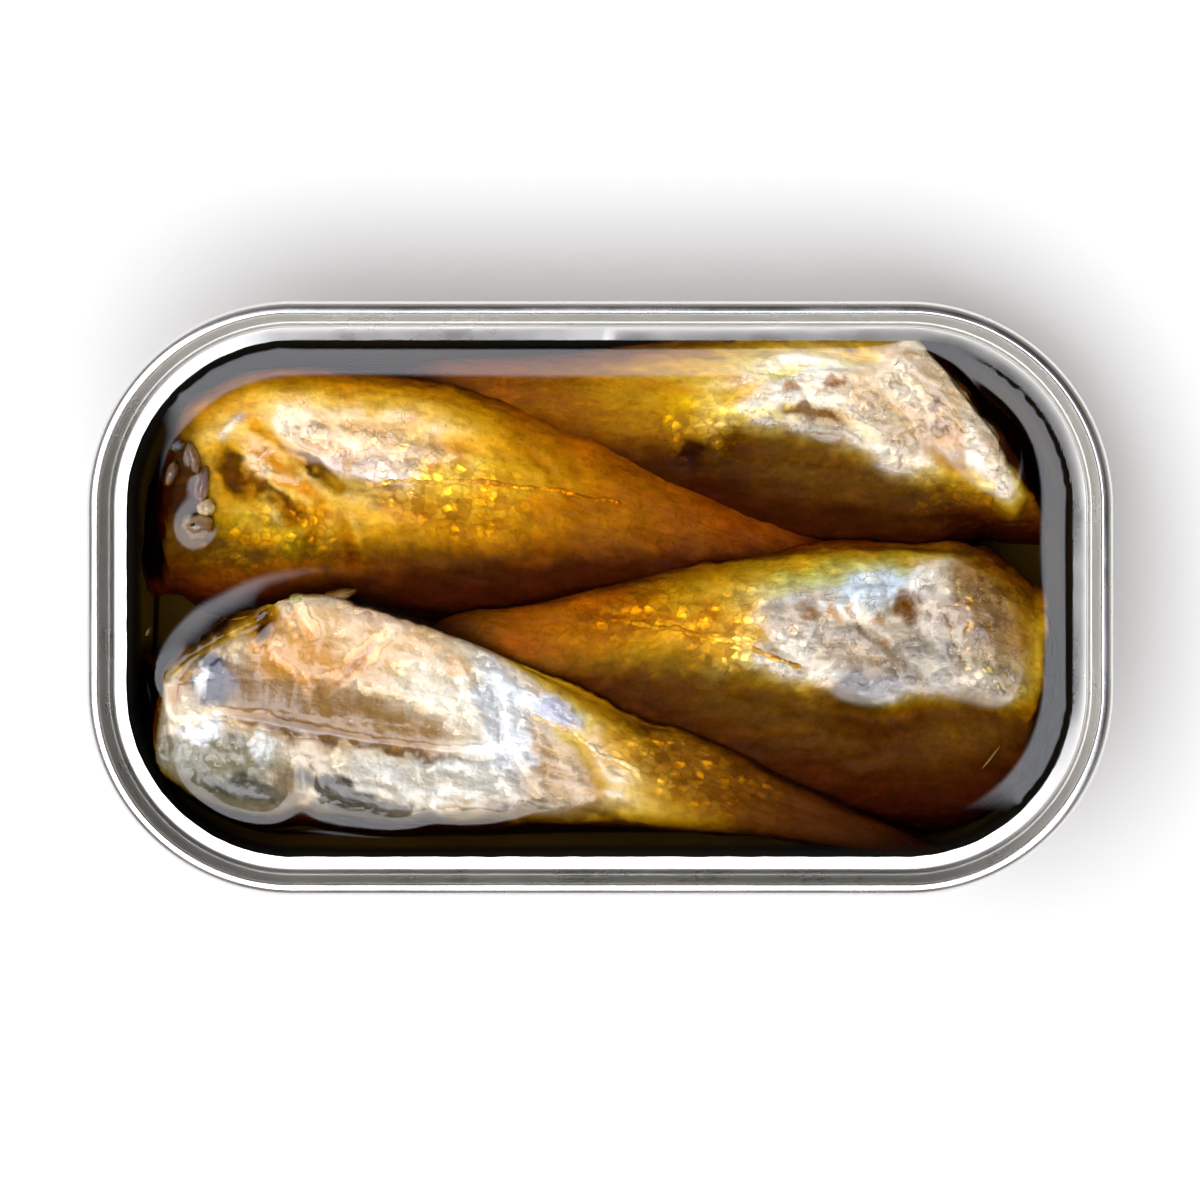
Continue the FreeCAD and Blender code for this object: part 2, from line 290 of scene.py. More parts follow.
def add_node(tree, kind, given=None, **settings):
    """A new node in a tree, with its settings made and its inputs filled."""
    node = tree.nodes.new(kind)
    for name, value in settings.items():
        setattr(node, name, value)
    fill(node, given or {})
    return node


def stretched(tree, where, scales):
    """Coordinates multiplied by a scale for each direction."""
    given = {"Vector": where, "Scale": scales}
    return add_node(tree, "ShaderNodeMapping", given).outputs["Vector"]


def noise(tree, where, scale, detail, distortion=0.0):
    """Cloudy noise between 0 and 1."""
    given = {"Vector": where, "Scale": scale, "Detail": detail, "Distortion": distortion}
    return add_node(tree, "ShaderNodeTexNoise", given).outputs["Fac"]


def remap(tree, value, low, high, to_low, to_high):
    """A value between low and high carried over to lie between two others."""
    given = {"From Min": low, "From Max": high, "To Min": to_low, "To Max": to_high}
    return add_node(tree, "ShaderNodeMapRange", {"Value": value, **given}).outputs["Result"]


def bumped(tree, height, strength, distance):
    """Shading normals of a fine relief."""
    given = {"Height": height, "Strength": strength, "Distance": distance}
    return add_node(tree, "ShaderNodeBump", given).outputs["Normal"]


ROLLED_GRAIN = (60, 60, 2200)  # the sheet's fine lines run round the tin
GRAIN_RELIEF = 0.00005
GRAIN_SHADE = 0.93
DULLING = 0.06


def metal(name, colour, roughness, grain):
    """Bare or lacquered sheet: rolled grain, faint scratches and a few dull patches."""
    made = bpy.data.materials.new(name)
    made.use_nodes = True
    tree = made.node_tree
    where = add_node(tree, "ShaderNodeTexCoord").outputs["Object"]
    lines = noise(tree, stretched(tree, where, ROLLED_GRAIN), 3.0, 6.0)
    clouds = noise(tree, where, 160.0, 5.0)
    shades = {"A": (*[part * GRAIN_SHADE for part in colour], 1), "B": (*colour, 1)}
    shade = add_node(tree, "ShaderNodeMix", {"Factor": lines, **shades}, data_type="RGBA")
    finish = {
        "Metallic": 1.0,
        "Base Color": shade.outputs["Result"],
        "Roughness": remap(tree, clouds, 0.3, 0.7, roughness - DULLING, roughness + DULLING),
        "Normal": bumped(tree, lines, grain, GRAIN_RELIEF),
    }
    fill(tree.nodes["Principled BSDF"], finish)
    return made


# Three copies of the same sheet: the ledge's satin copy is a little rougher, and it and the
# groove's copy are painted darker than the bead, as painted shade
BRIGHT_SHEET = metal("bright_sheet", (0.86, 0.85, 0.84), roughness=0.25, grain=0.12)
SATIN_SHEET_PAINTED_SHADE = metal("satin_sheet_painted_shade", (0.72, 0.70, 0.665), roughness=0.30, grain=0.12)
GROOVE_SHEET_PAINTED_SHADE = metal("groove_sheet_painted_shade", (0.56, 0.545, 0.515), roughness=0.30, grain=0.2)

outer_side, inner_side = sheet_outline(ring_corners())
ring_outline = outer_side + inner_side[::-1]
ring_points, here, there = sweep(ring_outline, tear_shift)
ring = new_object("lid_ring_torn", ring_points, strip_faces(here, there), BRIGHT_SHEET)
ring.data.materials.append(SATIN_SHEET_PAINTED_SHADE)
ring.data.materials.append(GROOVE_SHEET_PAINTED_SHADE)
chuck_wall = seam_layer(4) + SHEET / 2 - 0.01
ledge_start = seam_layer(4) + CHUCK_LEAN + COUNTERSINK_WIDTH
# The ledge and the groove take the darker copies, which are painted shade, and the seam takes the
# bright one
zones = []
for rim_inset, z in ring_outline:
    zones.append(1 if rim_inset > ledge_start else 2 if rim_inset > chuck_wall else 0)
for face in ring.data.polygons:
    face.material_index = min(zones[v % len(ring_outline)] for v in face.vertices)
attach(ring, "root")
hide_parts("lid_ring")


# --- Tin body ---------------------------------------------------------------------
# One cup drawn from the same sheet, with a foot ring round a raised base panel.  It is
# bare outside and has a gold lacquer inside, painted nearly black as painted shade of the
# deep gaps, which is seen only through the oil.

BASE_RADIUS = 1.8
WALL_DRAFT = 0.6
FOOT_WIDTH = 3.4
PANEL_RISE = 0.8
STEP_RUN = 0.7
STEP_RADIUS = 0.5
HOOK_DROP = 0.2  # the hook lies a little below the bead that is rolled over it
PANEL_EDGE_INSET = 12.0  # where the sweep hands over to one flat face
PANEL_LEVEL = SHEET / 2 + PANEL_RISE
FOOT_START = 3.5 * SHEET + WALL_DRAFT


def body_corners():
    """Middle of the body's sheet: hook, wall, foot ring and base panel."""
    top = TIN_HEIGHT - 1.5 * SHEET - HOOK_DROP
    foot = FOOT_START + FOOT_WIDTH
    return [
        (seam_layer(1), SEAM_BOTTOM + SHEET + HOOK_END_GAP, 0),
        (seam_layer(1), top, SHEET),
        (seam_layer(3), top, SHEET),
        (seam_layer(3), SEAM_BOTTOM - SHEET, BASE_RADIUS),
        (FOOT_START, SHEET / 2, BASE_RADIUS),
        (foot, SHEET / 2, STEP_RADIUS),
        (foot + STEP_RUN, PANEL_LEVEL, STEP_RADIUS),
        (PANEL_EDGE_INSET, PANEL_LEVEL, 0),
    ]


# Gold lacquer painted nearly black, as painted shade in the deep gaps under the oil
LACQUER_AND_PAINTED_SHADE = metal("gold_lacquer_painted_shade", (0.055, 0.028, 0.003), roughness=0.6, grain=0.1)

inner_side, outer_side = sheet_outline(body_corners())
body_outline = inner_side + outer_side[::-1]
body_points, here, there = sweep(body_outline)
at_panel = len(inner_side) - 1
body_faces = []
for face in strip_faces(here, there):
    if set(face % len(body_outline)) != {at_panel, at_panel + 1}:
        body_faces.append(face)
body_faces += [here[:, at_panel], here[::-1, at_panel + 1]]
body = new_object("tin_body_drawn", body_points, body_faces, BRIGHT_SHEET)
body.data.materials.append(LACQUER_AND_PAINTED_SHADE)
for face in body.data.polygons:
    inside = all(v % len(body_outline) <= at_panel for v in face.vertices)
    face.material_index = int(inside and face.center.z * 1000 < SEAM_BOTTOM)
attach(body, "root")
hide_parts("tin_body")


# --- Fish -------------------------------------------------------------------------
# Four headed horse mackerel, packed head to tail and cooked in the tin.  Their skin is
# silver and cream where it nears the surface and looks gold, then brown, under more oil.

OIL_DEPTH = 5.2
OIL_LEVEL = TIN_HEIGHT - OIL_DEPTH
FLOOR = PANEL_LEVEL + SHEET / 2
INSIDE_HALF_LENGTH = TIN_LENGTH / 2 - 4 * SHEET
INSIDE_HALF_WIDTH = TIN_WIDTH / 2 - 4 * SHEET
WALL_CLEARANCE = 0.06
RING_CLEARANCE = 0.15
BACK_ABOVE_OIL = 0.6  # the most that a back may rise beside the ledge
LEDGE_REACH = 1.2  # how far from the ledge that limit comes in
BASE_CLEARANCE = 0.05
FISH_SINK_IN = 0.4

NECK_START = -0.12  # the cut lies between these shares of the fish's length
NECK_END = 0.3
BLUNT_LENGTH = 0.16
NECK_GIRTH = 0.70
TAPER_LENGTH = 0.85
TAIL_GIRTH = 0.14
TAIL_FULLNESS = 2.4
NECK_DROOP = 0.30
DIP_START = 0.30
DIP_POWER = 1.5

ROWS = 270  # along a fish
BACK_COLUMNS = 150  # round it, over the back
BELLY_COLUMNS = 30
CAP_RINGS = 9
NECK_RAGGED = 0.35
NECK_ROUND = 0.8
NECK_BULGE = 1.8
CUT_ROUGHNESS = 0.5
CUT_HOLLOW = 0.6
TIP_START = 0.93  # where the tail's end begins to close
TIP_CLOSING = 0.98  # how nearly it closes

# Heights of the skin's own relief, from the broadest to the finest
LUMPS = 0.26
RIPPLES = 0.14
CREASES = 0.07
GRAIN = 0.03

# How much oil takes from each colour, per millimetre of depth, on the way in and out
OIL_TAKES = np.array([0.42, 0.89, 4.4])
OIL_FADE = 4.5  # deeper than this, the tint hardly grows
OIL_OVER_CUT = 1.2
GLEAM_FADE = 0.6
DEPTH_SHADE_RANGE = (0.15, 2.2)
SKIN_LIGHT = 0.85  # share of the light that the palest skin sends back
CREASE_SHADE = 0.20
SKIN_GRAIN_SHADE = 0.08
TAIL_DARKENING = 0.7
BACK_AND_SHADE_DARKENING = 0.9
BACK_AND_SHADE_EDGE = (-2.2, 2.6)  # where the dark begins and is full, below the back line
PATCH_WANDER = 0.9  # how ragged a patch's edge is
MARK_EDGE = (1.25, 0.6)  # where colour begins and is full, as shares of a mark's radii
SCALY_EDGE = (1.3, 0.5)

Fish = namedtuple(
    "Fish",
    "name neck bend tail half_width taper_start crest tail_crest tail_height lean fullness"
    " neck_cut murk wear skin folds marks back_line scales",
)
# Neck, bend and tail are shares of the inside's half length and half width, heights are
# above the oil, and the neck's cut is turned and sloped in degrees.  A fold is a ridge (or
# a groove, where its height is negative) along a line in plan: points, half width, height.
# A mark is a patch of colour: centre, radii, turn, colour, strength; a few of them stand for
# painted shade, painted highlights and a painted reflection.  The dark back, with painted shade
# on the deep lower flank, begins below the back line, and scales glint in their patches, with
# painted glints.  The depth shade is the share of light that sunk skin loses besides what the
# oil takes, painted as shade, and wear is how stained and cracked it is and how strong its
# painted highlights are.


def paint(red, green, blue):
    """Linear colour of a screen colour from 0 to 255."""
    screen = np.array([red, green, blue]) / 255
    return np.where(screen <= 0.04045, screen / 12.92, ((screen + 0.055) / 1.055) ** 2.4)


CREAM = paint(234, 210, 172)
DARK_FLESH = paint(92, 58, 34)
OLIVE = paint(120, 104, 66)
# The mackerel's dark back, also used as painted shade on the deep lower flank
DARK_BACK_AND_SHADE = paint(96, 64, 30)
CUT_FLESH = paint(120, 104, 60)

FISH = [
    Fish(
        name="fish_lower_left",
        neck=(-0.865, -0.375),
        bend=(-0.24, -0.385),
        tail=(0.70, -0.945),
        half_width=0.390,
        taper_start=0.20,
        crest=1.30,
        tail_crest=-3.4,
        tail_height=5.0,
        lean=0.12,
        fullness=10.0,
        neck_cut=(-8.0, 18.0),
        murk=0.62,
        wear=0.4,
        skin=CREAM,
        folds=[
            ([(-39.5, -11.6), (-31, -13.3), (-21, -15.0), (-12, -15.9)], 0.6, -0.45),
            ([(-38, -8.6), (-30, -10.8), (-21, -13.0)], 2.0, 0.22),
            ([(-36.5, -5.2), (-28, -8.0), (-18, -11.0)], 0.8, -0.20),
            ([(-27.6, -8.8), (-25, -6.8), (-21.6, -3.4)], 0.9, -0.50),
            ([(-30.3, -18.2), (-30.6, -21.8)], 1.6, -0.8),
            ([(-28.6, -18.6), (-24, -20.4), (-19, -21.4), (-10, -21.2)], 2.0, 0.35),
            ([(-43.6, -9), (-44.2, -12), (-44.0, -16), (-41.0, -18.8), (-35, -20.2)], 3.0, 0.6),
            ([(-42.6, -8.4), (-40.4, -6.6), (-36.2, -4.6)], 1.0, 0.4),
            ([(-45.5, -5.0), (-41.0, -2.2), (-36.0, -0.6)], 2.9, -3.6),
            ([(-24, 0.6), (-19, -0.8), (-13, -2.8), (-7, -6.6), (-1, -9.8), (5, -12.6)], 1.7, -1.5),
            ([(-33.4, -1.0), (-34.8, -3.8)], 1.0, -1.3),
            ([(-30.7, -1.2), (-29.4, -3.4)], 0.7, -0.9),
            ([(-24, -2.2), (-12, -5.8), (-4, -10.5)], 1.4, 0.30),
            ([(-10.5, -8.6), (-9.4, -15.5), (-6.5, -20)], 0.6, -0.18),
            ([(-14, -7.0), (-12, -13.0)], 0.8, 0.20),
            ([(-7.0, -11.5), (-2.0, -15.0), (0, -19)], 0.7, -0.35),
        ],
        marks=[
            ((-24, -4.8), (9, 4), -12, paint(255, 206, 140), 0.95),
            ((-16, -9.5), (5.5, 3.2), -20, paint(250, 236, 206), 0.9),
            ((-22, -1.6), (4, 1.6), -6, paint(255, 222, 190), 0.7),
            ((-14.5, -7.0), (1.6, 1.2), 0, paint(250, 190, 110), 0.7),
            ((-40.5, -2.6), (6, 2.2), 38, paint(70, 44, 18), 0.95),
            # painted shade in the notch between the two lobes
            ((-31.0, -18.6), (2.0, 2.4), 10, paint(130, 110, 76), 0.85),
            ((-8, -8.5), (7, 3), -28, paint(240, 230, 206), 0.8),
            ((-13, -17.4), (7, 3.0), -6, paint(238, 234, 222), 0.9),
            ((-22, -17.6), (4.5, 1.8), -8, paint(206, 196, 170), 0.85),
            # painted shade along the lower lobe's underside
            ((-38.5, -20.6), (7.5, 2.0), -6, paint(92, 84, 60), 0.9),
            # painted shade at the lower lobe's lower left
            ((-43.2, -17.0), (2.4, 3.0), 25, paint(84, 76, 50), 0.95),
            ((20, -20.5), (19, 6), -20, paint(150, 108, 46), 0.9),
            ((-45.0, -14.0), (1.2, 6), 8, paint(110, 94, 62), 0.8),
            # painted shade in the band under the second lobe
            ((-23, -22.0), (9, 1.5), -4, paint(92, 84, 66), 0.95),
            ((-6, -21.8), (9, 1.5), 3, paint(112, 88, 46), 0.9),
            ((-9.5, -12.5), (3.0, 7.0), 18, paint(236, 238, 240), 0.95),
            ((-20, -18.6), (8, 2.2), -6, paint(228, 222, 206), 0.9),
            ((-38.0, -16.6), (6.0, 3.2), -5, paint(130, 126, 98), 0.85),
            # painted highlight on the lower lobe's top
            ((-40.5, -13.4), (2.4, 1.2), 10, paint(236, 240, 244), 0.8),
            # painted highlight on the lower lobe
            ((-34.5, -15.2), (1.8, 1.6), 0, paint(230, 230, 222), 0.8),
            # painted shade along the lower lobe's lower edge
            ((-36.5, -19.4), (5.0, 1.2), -8, paint(74, 68, 46), 0.9),
            # painted shade under the second lobe's left end
            ((-26.5, -19.8), (5.4, 1.3), -22, paint(66, 58, 40), 0.95),
            ((-31.5, -10.7), (10.5, 3.5), -16, paint(156, 112, 52), 0.95),
            ((-22.5, -12.9), (8.0, 2.6), -15, paint(166, 122, 58), 0.95),
            ((-26, -14.3), (13.5, 0.55), -11, paint(118, 84, 44), 0.9),
            ((-39.6, -8.2), (2.4, 2.8), 12, paint(84, 86, 108), 0.95),
            # painted highlight on the gill cover
            ((-40.7, -7.6), (0.7, 1.5), 0, paint(250, 250, 255), 0.9),
            ((-38.6, -10.2), (1.3, 0.5), 0, paint(70, 56, 50), 0.8),
            ((-31.0, -6.0), (5.4, 2.6), -12, paint(236, 160, 34), 0.8),
            ((-32.6, -3.2), (1.6, 1.2), 0, paint(232, 172, 92), 0.7),
            ((-34.6, -3.2), (1.1, 1.0), 0, DARK_FLESH, 0.9),
            ((-24.6, -6.6), (4.2, 0.6), 42, paint(178, 118, 50), 0.8),
            ((-42.8, -8.4), (0.8, 3.0), -8, paint(190, 140, 84), 0.8),
            ((-4.0, -13.2), (3.0, 2.0), -24, paint(222, 206, 188), 0.9),
            ((-5.0, -11.4), (3.6, 1.0), -24, paint(206, 212, 236), 0.9),
            ((-3.4, -18.2), (5.0, 3.0), -10, paint(196, 166, 126), 0.9),
            ((-6.0, -15.6), (1.0, 3.0), 20, paint(190, 150, 96), 0.7),
            ((1.5, -15.5), (2.5, 2.5), 0, paint(226, 186, 110), 0.8),
        ],
        back_line=[(-52, -22.5), (-38, -23), (-20, -24), (-4, -22.5), (12, -23.5), (40, -29)],
        scales=[((10, -17.5), (10, 4), -22)],
    ),
    Fish(
        name="fish_lower_right",
        neck=(0.870, -0.330),
        bend=(0.30, -0.325),
        tail=(-0.34, -0.140),
        half_width=0.480,
        taper_start=0.27,
        crest=0.50,
        tail_crest=-3.6,
        tail_height=5.0,
        lean=0.36,
        fullness=2.5,
        neck_cut=(-6.0, 14.0),
        murk=0.25,
        wear=1.0,
        skin=paint(224, 212, 188),
        folds=[
            ([(12, 4.4), (20, 5.6), (30, 5.9), (38, 5.0)], 0.8, -0.55),
            ([(35, 2.5), (40, -2.5), (41.5, -9), (42.5, -11.5)], 3.4, 0.75),
            ([(10, -0.5), (16, -3.5), (22, -7.5)], 0.9, -0.12),
            ([(24, 2.5), (27, -2.5), (33, -7.5)], 0.8, -0.14),
            ([(18.5, 3.5), (20, -1.0)], 0.8, 0.14),
            ([(31.2, -0.6), (31.3, -0.7)], 1.3, -0.55),
            ([(36, -1.5), (38, -7.5)], 0.9, -0.16),
            ([(15, -9.0), (22, -11.4), (29, -13.2), (36, -11.8), (43, -12.5)], 2.0, -0.9),
            ([(25.5, -11.9), (29, -13.1), (32, -11.9)], 1.6, -0.9),
        ],
        marks=[
            ((25, 1.6), (8, 2.6), 6, paint(206, 222, 236), 0.95),
            ((20, -3), (6, 4), 20, paint(200, 190, 176), 0.8),
            ((27, -5.5), (5.5, 3.0), -12, paint(168, 146, 116), 0.85),
            ((33.5, -3.0), (3.2, 4.5), 10, paint(184, 168, 146), 0.85),
            ((34, -6.6), (5, 3.2), -20, paint(150, 138, 118), 0.9),
            ((31.1, -0.6), (1.9, 1.6), 0, paint(112, 70, 12), 1.0),
            ((21.4, -1.2), (1.0, 0.8), 0, paint(150, 104, 52), 0.85),
            ((24.0, -1.6), (1.6, 1.0), 10, paint(196, 150, 88), 0.8),
            ((28.4, -2.2), (1.2, 0.8), -10, paint(176, 128, 70), 0.8),
            ((26.6, -3.6), (1.0, 0.6), 20, paint(128, 88, 52), 0.8),
            ((29.2, -4.6), (0.8, 0.6), 0, paint(150, 100, 50), 0.7),
            ((40.0, -1.5), (5.0, 8.0), 8, paint(150, 108, 28), 0.9),
            # painted reflection: a grey-lilac patch like the window's reflection in the oil
            ((27.5, -9.4), (4.8, 2.2), 6, paint(118, 112, 114), 0.95),
            ((13.0, -3.2), (4.5, 3.4), 12, paint(244, 206, 120), 0.9),
            ((-1, -2.6), (11, 3.6), 8, paint(255, 214, 84), 0.9),
            ((40.6, -9.0), (5.0, 3.6), -30, paint(176, 156, 116), 0.9),
            ((36.8, -8.6), (1.6, 1.2), 0, paint(236, 226, 206), 0.9),
            ((42.4, -10.4), (1.3, 0.7), -30, paint(216, 196, 156), 0.8),
            ((24, 6.2), (16, 1.4), 3, paint(196, 136, 66), 0.85),
        ],
        back_line=[
            (-20, -8), (-2, -6.5), (5, -5.8), (11, -6.2),
            (20, -8.6), (29, -11.2), (36, -8.8), (44, -11.5),
        ],
        scales=[
            ((14, -3.5), (6, 4.5), 15),
            ((4, -1.5), (8, 3), 12),
            ((39, 0), (3.5, 5), 0),
            ((40, -9), (4, 3.5), 0),
        ],
    ),
    Fish(
        name="fish_upper_left",
        neck=(-0.850, 0.345),
        bend=(-0.19, 0.340),
        tail=(0.51, 0.090),
        half_width=0.430,
        taper_start=0.26,
        crest=-0.10,
        tail_crest=-5.2,
        tail_height=4.6,
        lean=0.36,
        fullness=2.5,
        neck_cut=(-6.0, 16.0),
        murk=0.3,
        wear=1.0,
        skin=paint(246, 214, 150),
        folds=[
            ([(-36.6, 16.2), (-32.4, 13.2), (-28.6, 9.9)], 1.0, -0.10),
            ([(-35.2, 17.6), (-31.0, 14.8), (-26.6, 11.2)], 0.6, -0.8),
            ([(-38.0, 14.6), (-37.6, 11.4), (-34.5, 10.6), (-31, 8.4)], 1.3, -1.0),
            ([(-34.4, 10.4), (-32.6, 7.9)], 0.6, 0.55),
            ([(-38.6, 16.6), (-36.6, 18.6)], 0.5, 0.45),
            ([(-26.0, 7.6), (-25.0, 3.0)], 0.5, -0.5),
            ([(-28.4, 9.6), (-30.5, 2.5)], 0.6, -0.5),
            ([(-40, 17.0), (-34, 19.6), (-25, 19.4), (-15, 17.0)], 5.2, 0.52),
            ([(-7.4, 15.2), (-5.0, 12.8), (-3.0, 10.2)], 0.5, -0.3),
            ([(-25.4, 8.4), (-24.0, 4.0)], 0.5, 0.3),
            ([(-33, 14.5), (-26, 11.5), (-17, 9.0)], 0.8, -0.35),
            ([(-29, 17.5), (-20, 16.0), (-12, 13.5)], 0.9, 0.30),
            ([(-22, 6.5), (-12, 7.5), (-2, 7.0)], 0.8, -0.25),
        ],
        marks=[
            ((-24, 13.2), (6, 3.4), -20, paint(216, 198, 196), 0.85),
            ((-29, 19), (12, 3.6), 3, paint(255, 214, 160), 0.85),
            ((-14, 12.5), (7, 3.5), -18, paint(255, 226, 120), 0.8),
            ((-22.6, 19.2), (0.9, 0.8), 0, paint(150, 92, 30), 0.8),
            ((-18.9, 18.7), (0.8, 0.8), 0, paint(150, 92, 30), 0.8),
            ((-30.6, 17.4), (0.6, 0.5), 0, paint(120, 80, 50), 0.8),
            ((-37.5, 12.6), (1.7, 2.8), 24, paint(84, 50, 12), 0.9),
            ((-33.5, 9.4), (0.9, 1.7), 35, paint(226, 206, 196), 0.9),
            ((-37.7, 17.4), (0.8, 1.8), -45, paint(226, 214, 206), 0.9),
            ((-34.3, 6.4), (3.6, 1.4), 0, paint(255, 236, 160), 0.9),
            ((-33.6, 10.9), (0.9, 3.8), 52, paint(112, 70, 22), 0.9),
            ((-32.6, 13.2), (1.1, 5.6), 52, paint(222, 160, 48), 1.0),
            ((-31.0, 14.7), (0.5, 5.0), 52, paint(104, 66, 20), 0.9),
            ((-43.2, 10), (3.6, 9), 0, paint(64, 36, 14), 0.95),
            ((-20, 3.5), (13, 2.4), -4, OLIVE, 0.6),
            ((-38.0, 4.6), (10, 4.0), 0, paint(176, 186, 60), 0.9),
            ((-27, 18.2), (12, 3.8), -4, paint(252, 222, 176), 0.95),
            ((-20.5, 16.5), (7, 2.4), -14, paint(250, 206, 130), 0.7),
            ((-34.4, 6.5), (4.0, 1.5), 0, paint(255, 244, 200), 0.95),
            ((-33.5, 9.6), (0.9, 1.8), 35, paint(236, 220, 214), 0.9),
            ((-28, 0.6), (15, 3.2), -2, paint(250, 224, 96), 0.85),
        ],
        back_line=[(-50, 1), (-37, 1.5), (-28, 3.4), (-15, 4.2), (0, 5.6), (12, 6.0), (28, 3)],
        scales=[((-16, 11.0), (9.5, 5.0), -18), ((-30, 7), (6, 3), -30), ((-37, 4.6), (6, 3), 0)],
    ),
    Fish(
        name="fish_upper_right",
        neck=(0.790, 0.500),
        bend=(0.25, 0.570),
        tail=(-0.40, 0.790),
        half_width=0.395,
        taper_start=0.27,
        crest=0.45,
        tail_crest=-4.6,
        tail_height=4.6,
        lean=0.30,
        fullness=2.6,
        neck_cut=(38.0, 20.0),
        murk=0.4,
        wear=1.0,
        skin=paint(240, 222, 190),
        folds=[
            ([(19.0, 19.6), (24.5, 18.6), (28, 16.5)], 0.6, -0.5),
            ([(31.5, 24.5), (36.0, 20.5), (39.5, 15.5), (41.5, 10.5)], 2.4, 1.25),
            ([(13, 20.5), (21, 24.0), (29, 24.5)], 0.8, -0.35),
            ([(29, 21), (33, 16.5), (36, 12.5)], 0.6, -0.25),
            ([(9.4, 14.6), (9.5, 14.7)], 1.5, -0.7),
            ([(39, 16), (42, 10.5)], 2.0, 0.8),
            ([(14, 15.4), (20, 15.3), (26, 14.0)], 1.7, -0.8),
        ],
        marks=[
            ((22, 22.5), (7, 2.6), -6, paint(240, 236, 226), 0.8),
            ((31, 19), (7, 4), -35, paint(216, 190, 148), 0.85),
            ((36.5, 17.0), (4.6, 2.6), -48, paint(206, 172, 120), 0.8),
            ((22, 18.9), (3.2, 0.7), -8, paint(130, 96, 76), 0.9),
            ((24, 22), (0.8, 0.8), 0, paint(170, 122, 74), 0.9),
            ((19.5, 21.6), (0.9, 0.6), 0, paint(190, 140, 84), 0.8),
            ((35.6, 15.3), (4.0, 2.2), -50, paint(176, 136, 86), 0.8),
            ((7.8, 19.8), (2.3, 2.0), 0, paint(250, 226, 50), 0.95),
            ((15.5, 18.6), (5.0, 0.7), -4, paint(255, 236, 150), 0.9),
            ((38.6, 13.6), (1.2, 5.0), 12, paint(250, 240, 222), 0.9),
            ((27.5, 19.2), (0.5, 0.4), 0, paint(140, 96, 70), 0.9),
            ((31.5, 17.0), (0.4, 0.5), 0, paint(150, 104, 76), 0.9),
            ((33.8, 19.6), (0.5, 0.4), 0, paint(140, 96, 70), 0.9),
            ((30.2, 13.9), (0.5, 0.4), 0, paint(140, 96, 70), 0.9),
            ((9.4, 14.6), (1.9, 1.7), 0, paint(50, 24, 8), 1.0),
            ((22, 11), (14, 3), -6, OLIVE, 0.7),
        ],
        back_line=[(-20, 18), (4, 16.4), (10, 16.4), (15, 18.4), (22, 17.9), (32, 12.9), (42, 9.0)],
        scales=[((10, 16.5), (5, 3.5), -10), ((36, 9), (5, 3), -30)],
    ),
]


def place(share):
    """A point in plan from shares of the inside's half length and half width."""
    return np.array([share[0] * INSIDE_HALF_LENGTH, share[1] * INSIDE_HALF_WIDTH])


def fullness(fish, t):
    """Power of the section's superellipse: the neck is boxier than the tail."""
    return TAIL_FULLNESS + (fish.fullness - TAIL_FULLNESS) * (1 - np.clip(t, 0, 1) ** 2)


def girth(fish, t):
    """Share of the fullest girth: blunt at the neck, then a long taper to the tail."""
    blunt = np.clip(1 - t / BLUNT_LENGTH, 0, 1)
    run = np.clip((t - fish.taper_start) / TAPER_LENGTH, 0, 1)
    taper = TAIL_GIRTH + (1 - TAIL_GIRTH) * (1 + np.cos(np.pi * run)) / 2
    return (1 - (1 - NECK_GIRTH) * blunt**2) * taper


def signed_power(value, power):
    """A power of a value's size, with the value's sign."""
    return np.sign(value) * np.abs(value) ** power


def fish_surface(fish, t, angle):
    """Points of the smooth fish at t along it and angle round it."""
    neck, bend, tail = place(fish.neck), place(fish.bend), place(fish.tail)
    spine = neck * (1 - t[..., None]) ** 2
    spine = spine + bend * (2 * t * (1 - t))[..., None] + tail * (t**2)[..., None]
    along = (bend - neck) * (1 - t[..., None]) + (tail - bend) * t[..., None]
    along /= np.linalg.norm(along, axis=-1, keepdims=True)
    across = np.stack([-along[..., 1], along[..., 0]], axis=-1)
    across *= np.sign(across[..., 1:])
    dip = np.clip((t - DIP_START) / (1 - DIP_START), 0, None) ** DIP_POWER
    back = OIL_LEVEL + fish.crest + (fish.tail_crest - fish.crest) * dip
    full_belly = FLOOR - FISH_SINK_IN
    tail_belly = OIL_LEVEL + fish.tail_crest - fish.tail_height
    belly = full_belly + (tail_belly - full_belly) * dip
    droop = np.where(t < BLUNT_LENGTH, NECK_DROOP * (1 - girth(fish, t)) * (back - belly), 0)
    back, belly = back - droop, belly + droop
    power = 2 / fullness(fish, t)
    out = signed_power(np.cos(angle), power)
    up = signed_power(np.sin(angle), power)
    half_width = fish.half_width * INSIDE_HALF_WIDTH * girth(fish, t)
    xy = spine + across * ((out + fish.lean * up) * half_width)[..., None]
    z = (back + belly) / 2 + up * (back - belly) / 2
    return np.concatenate([xy, z[..., None]], axis=-1)


def even_angles(fish, low, high, count, fine_steps=40000):
    """Angles between two, spaced so that the points lie evenly round the fish."""
    angle = np.linspace(low, high, fine_steps + 1)
    power = 2 / fish.fullness
    height = (OIL_LEVEL + fish.crest - FLOOR) / 2
    x = signed_power(np.cos(angle), power)
    z = signed_power(np.sin(angle), power)
    steps = np.hypot(np.diff(x) * fish.half_width * INSIDE_HALF_WIDTH, np.diff(z) * height)
    run = np.concatenate([[0], np.cumsum(steps)])
    return np.interp(np.arange(count) / count * run[-1], run, angle)


